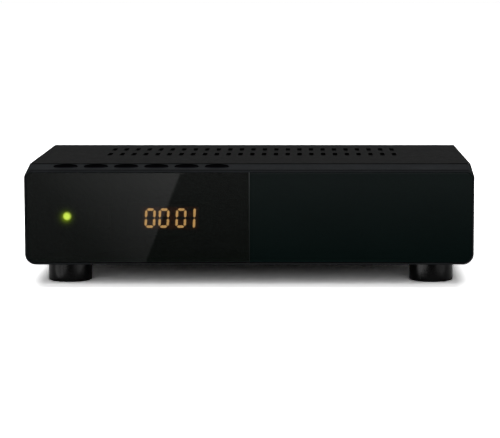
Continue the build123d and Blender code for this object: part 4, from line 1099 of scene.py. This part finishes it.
def card_material(stage):
    """The card that the plates mirror: dark, with a bright wedge left of a straight edge."""
    finish = StageMaterial("stage_card", "Emission")
    spot = finish.parts()
    away = finish.maths("SUBTRACT", FRONT, spot["Y"])
    near, middle, far = 57 * MM, 400 * MM, 453 * MM
    edge = finish.mapped(away, -43.6 * MM, -50.0 * MM, 67 * MM, far)
    fade_width = finish.mapped(away, 14 * MM, 84 * MM, near, 435 * MM)
    left = finish.maths("SUBTRACT", edge, spot["X"])
    inside = finish.maths("GREATER_THAN", left, 0.0)
    fading = finish.maths("DIVIDE", left, fade_width)
    ramp = finish.mapped(away, 0.2 * stage.card_bright, stage.card_bright, near, middle)
    bright = finish.times(finish.mapped(fading, 1.0, 0.0, 0.0, 1.0), ramp)
    wedge = finish.times(finish.maths("ADD", bright, stage.card_left), inside)
    ground = finish.mapped(away, 0.0, stage.card_dark, 70 * MM, 390 * MM)
    finish.set("Strength", finish.maths("ADD", wedge, ground))
    finish.clear_from_above(0.60, 0.74)
    return finish.material


def strip_material(name, level):
    """A glowing strip beside the feet, which draws the streaks on their sides."""
    finish = StageMaterial(name, "Emission")
    finish.set("Strength", level)
    finish.clear_from_above(0.74, 0.82)
    return finish.material


def soft_lamp(name, size, place, target, radiance):
    """A soft area lamp that only lights."""
    lamp = bpy.data.lights.new(name, "AREA")
    lamp.shape = "RECTANGLE"
    lamp.size, lamp.size_y = size
    lamp.energy = radiance * math.pi * size[0] * size[1]
    obj = bpy.data.objects.new(name, lamp)
    obj.location = place
    obj.rotation_euler = (Vector(target) - Vector(place)).to_track_quat("-Z", "Y").to_euler()
    obj.visible_camera = False
    bpy.context.scene.collection.objects.link(obj)


def studio_world(stage):
    """White to the eye and in reflections, dimmer as a light."""
    world = bpy.data.worlds.new("studio")
    sky = Shading(world, "Background")
    direction = sky.parts(sky.add("TexCoord").outputs["Generated"])
    ambient = sky.mapped(direction["Y"], stage.ambient_front, stage.ambient_back, -0.4, 0.4)
    white = sky.maths("ADD", *rays_of(sky))
    sky.set("Color", grey(1.0))
    sky.set("Strength", sky.mapped(white, ambient, 1.0, 0.0, 1.0))
    bpy.context.scene.world = world


class RECEIVER_OT_stage(bpy.types.Operator):
    """Set the floor, the lamps, the world and the camera"""

    bl_idname = "receiver.stage"
    bl_label = "Stage"

    def execute(self, context):
        stage = context.scene.receiver_stage
        context.scene.view_settings.view_transform = "Standard"
        reach, card_half, card_near, card_far = 6.0, 0.5, 0.012, 0.62
        stage_sheet("stage_floor", (-reach, -reach), (reach, reach), 0.0, floor_material(stage))
        card_ends = (-card_half, FRONT - card_far), (card_half, FRONT - card_near)
        mirrored_sheet("stage_card", *card_ends, 0.5 * MM, card_material(stage))
        for index, (left, right, back, level) in enumerate(STRIPS):
            name = f"stage_strip_{index}"
            ends = (left, at(STRIP_FRONT)), (right, at(back))
            mirrored_sheet(name, *ends, 0.8 * MM, strip_material(name, level))
        soft_lamp("top_lamp", (1.4, 1.2), (0.0, 0.1, 1.1), (0.0, 0.0, 0.0), stage.top_level)
        soft_lamp("front_lamp", (2.0, 1.0), (0.0, -1.65, 0.75), (0.0, 0.0, 0.02), stage.front_level)
        studio_world(stage)
        camera = bpy.data.cameras.new("camera")
        camera.lens = stage.lens
        camera.shift_x = stage.shift
        camera.clip_start, camera.clip_end = 0.01, 50.0
        viewer = bpy.data.objects.new("camera", camera)
        viewer.location = stage.eye
        viewer.rotation_euler = (stage.tilt, 0.0, 0.0)
        context.scene.collection.objects.link(viewer)
        context.scene.camera = viewer
        return {"FINISHED"}


class RECEIVER_PT_panel(bpy.types.Panel):
    """Lists the receiver's pieces and its stage"""

    bl_idname = "RECEIVER_PT_panel"
    bl_label = "Satellite receiver"
    bl_space_type = "VIEW_3D"
    bl_region_type = "UI"
    bl_category = "Receiver"

    def draw(self, context):
        column = self.layout.column()
        for operator in OPERATORS:
            column.operator(operator.bl_idname)
        for name, group in SETTINGS.items():
            for setting in group.__annotations__:
                column.prop(getattr(context.scene, name), setting)


SETTINGS = {
    "receiver_case": ReceiverCase,
    "receiver_display": ReceiverDisplay,
    "receiver_boards": ReceiverBoards,
    "receiver_stage": ReceiverStage,
}
OPERATORS = (
    RECEIVER_OT_stage,
    RECEIVER_OT_case,
    RECEIVER_OT_front,
    RECEIVER_OT_feet,
    RECEIVER_OT_display,
    RECEIVER_OT_boards,
    RECEIVER_OT_sockets,
)
CLASSES = (*SETTINGS.values(), *OPERATORS, RECEIVER_PT_panel)


def register():
    """Adds the classes and the settings."""
    for cls in CLASSES:
        bpy.utils.register_class(cls)
    for name, group in SETTINGS.items():
        setattr(bpy.types.Scene, name, bpy.props.PointerProperty(type=group))


def unregister():
    """Removes the settings and the classes."""
    for name in SETTINGS:
        delattr(bpy.types.Scene, name)
    for cls in reversed(CLASSES):
        bpy.utils.unregister_class(cls)


def main():
    """Builds the receiver."""
    register()
    for operator in OPERATORS:
        kind, name = operator.bl_idname.split(".")
        getattr(getattr(bpy.ops, kind), name)()


if __name__ == "__main__":
    main()
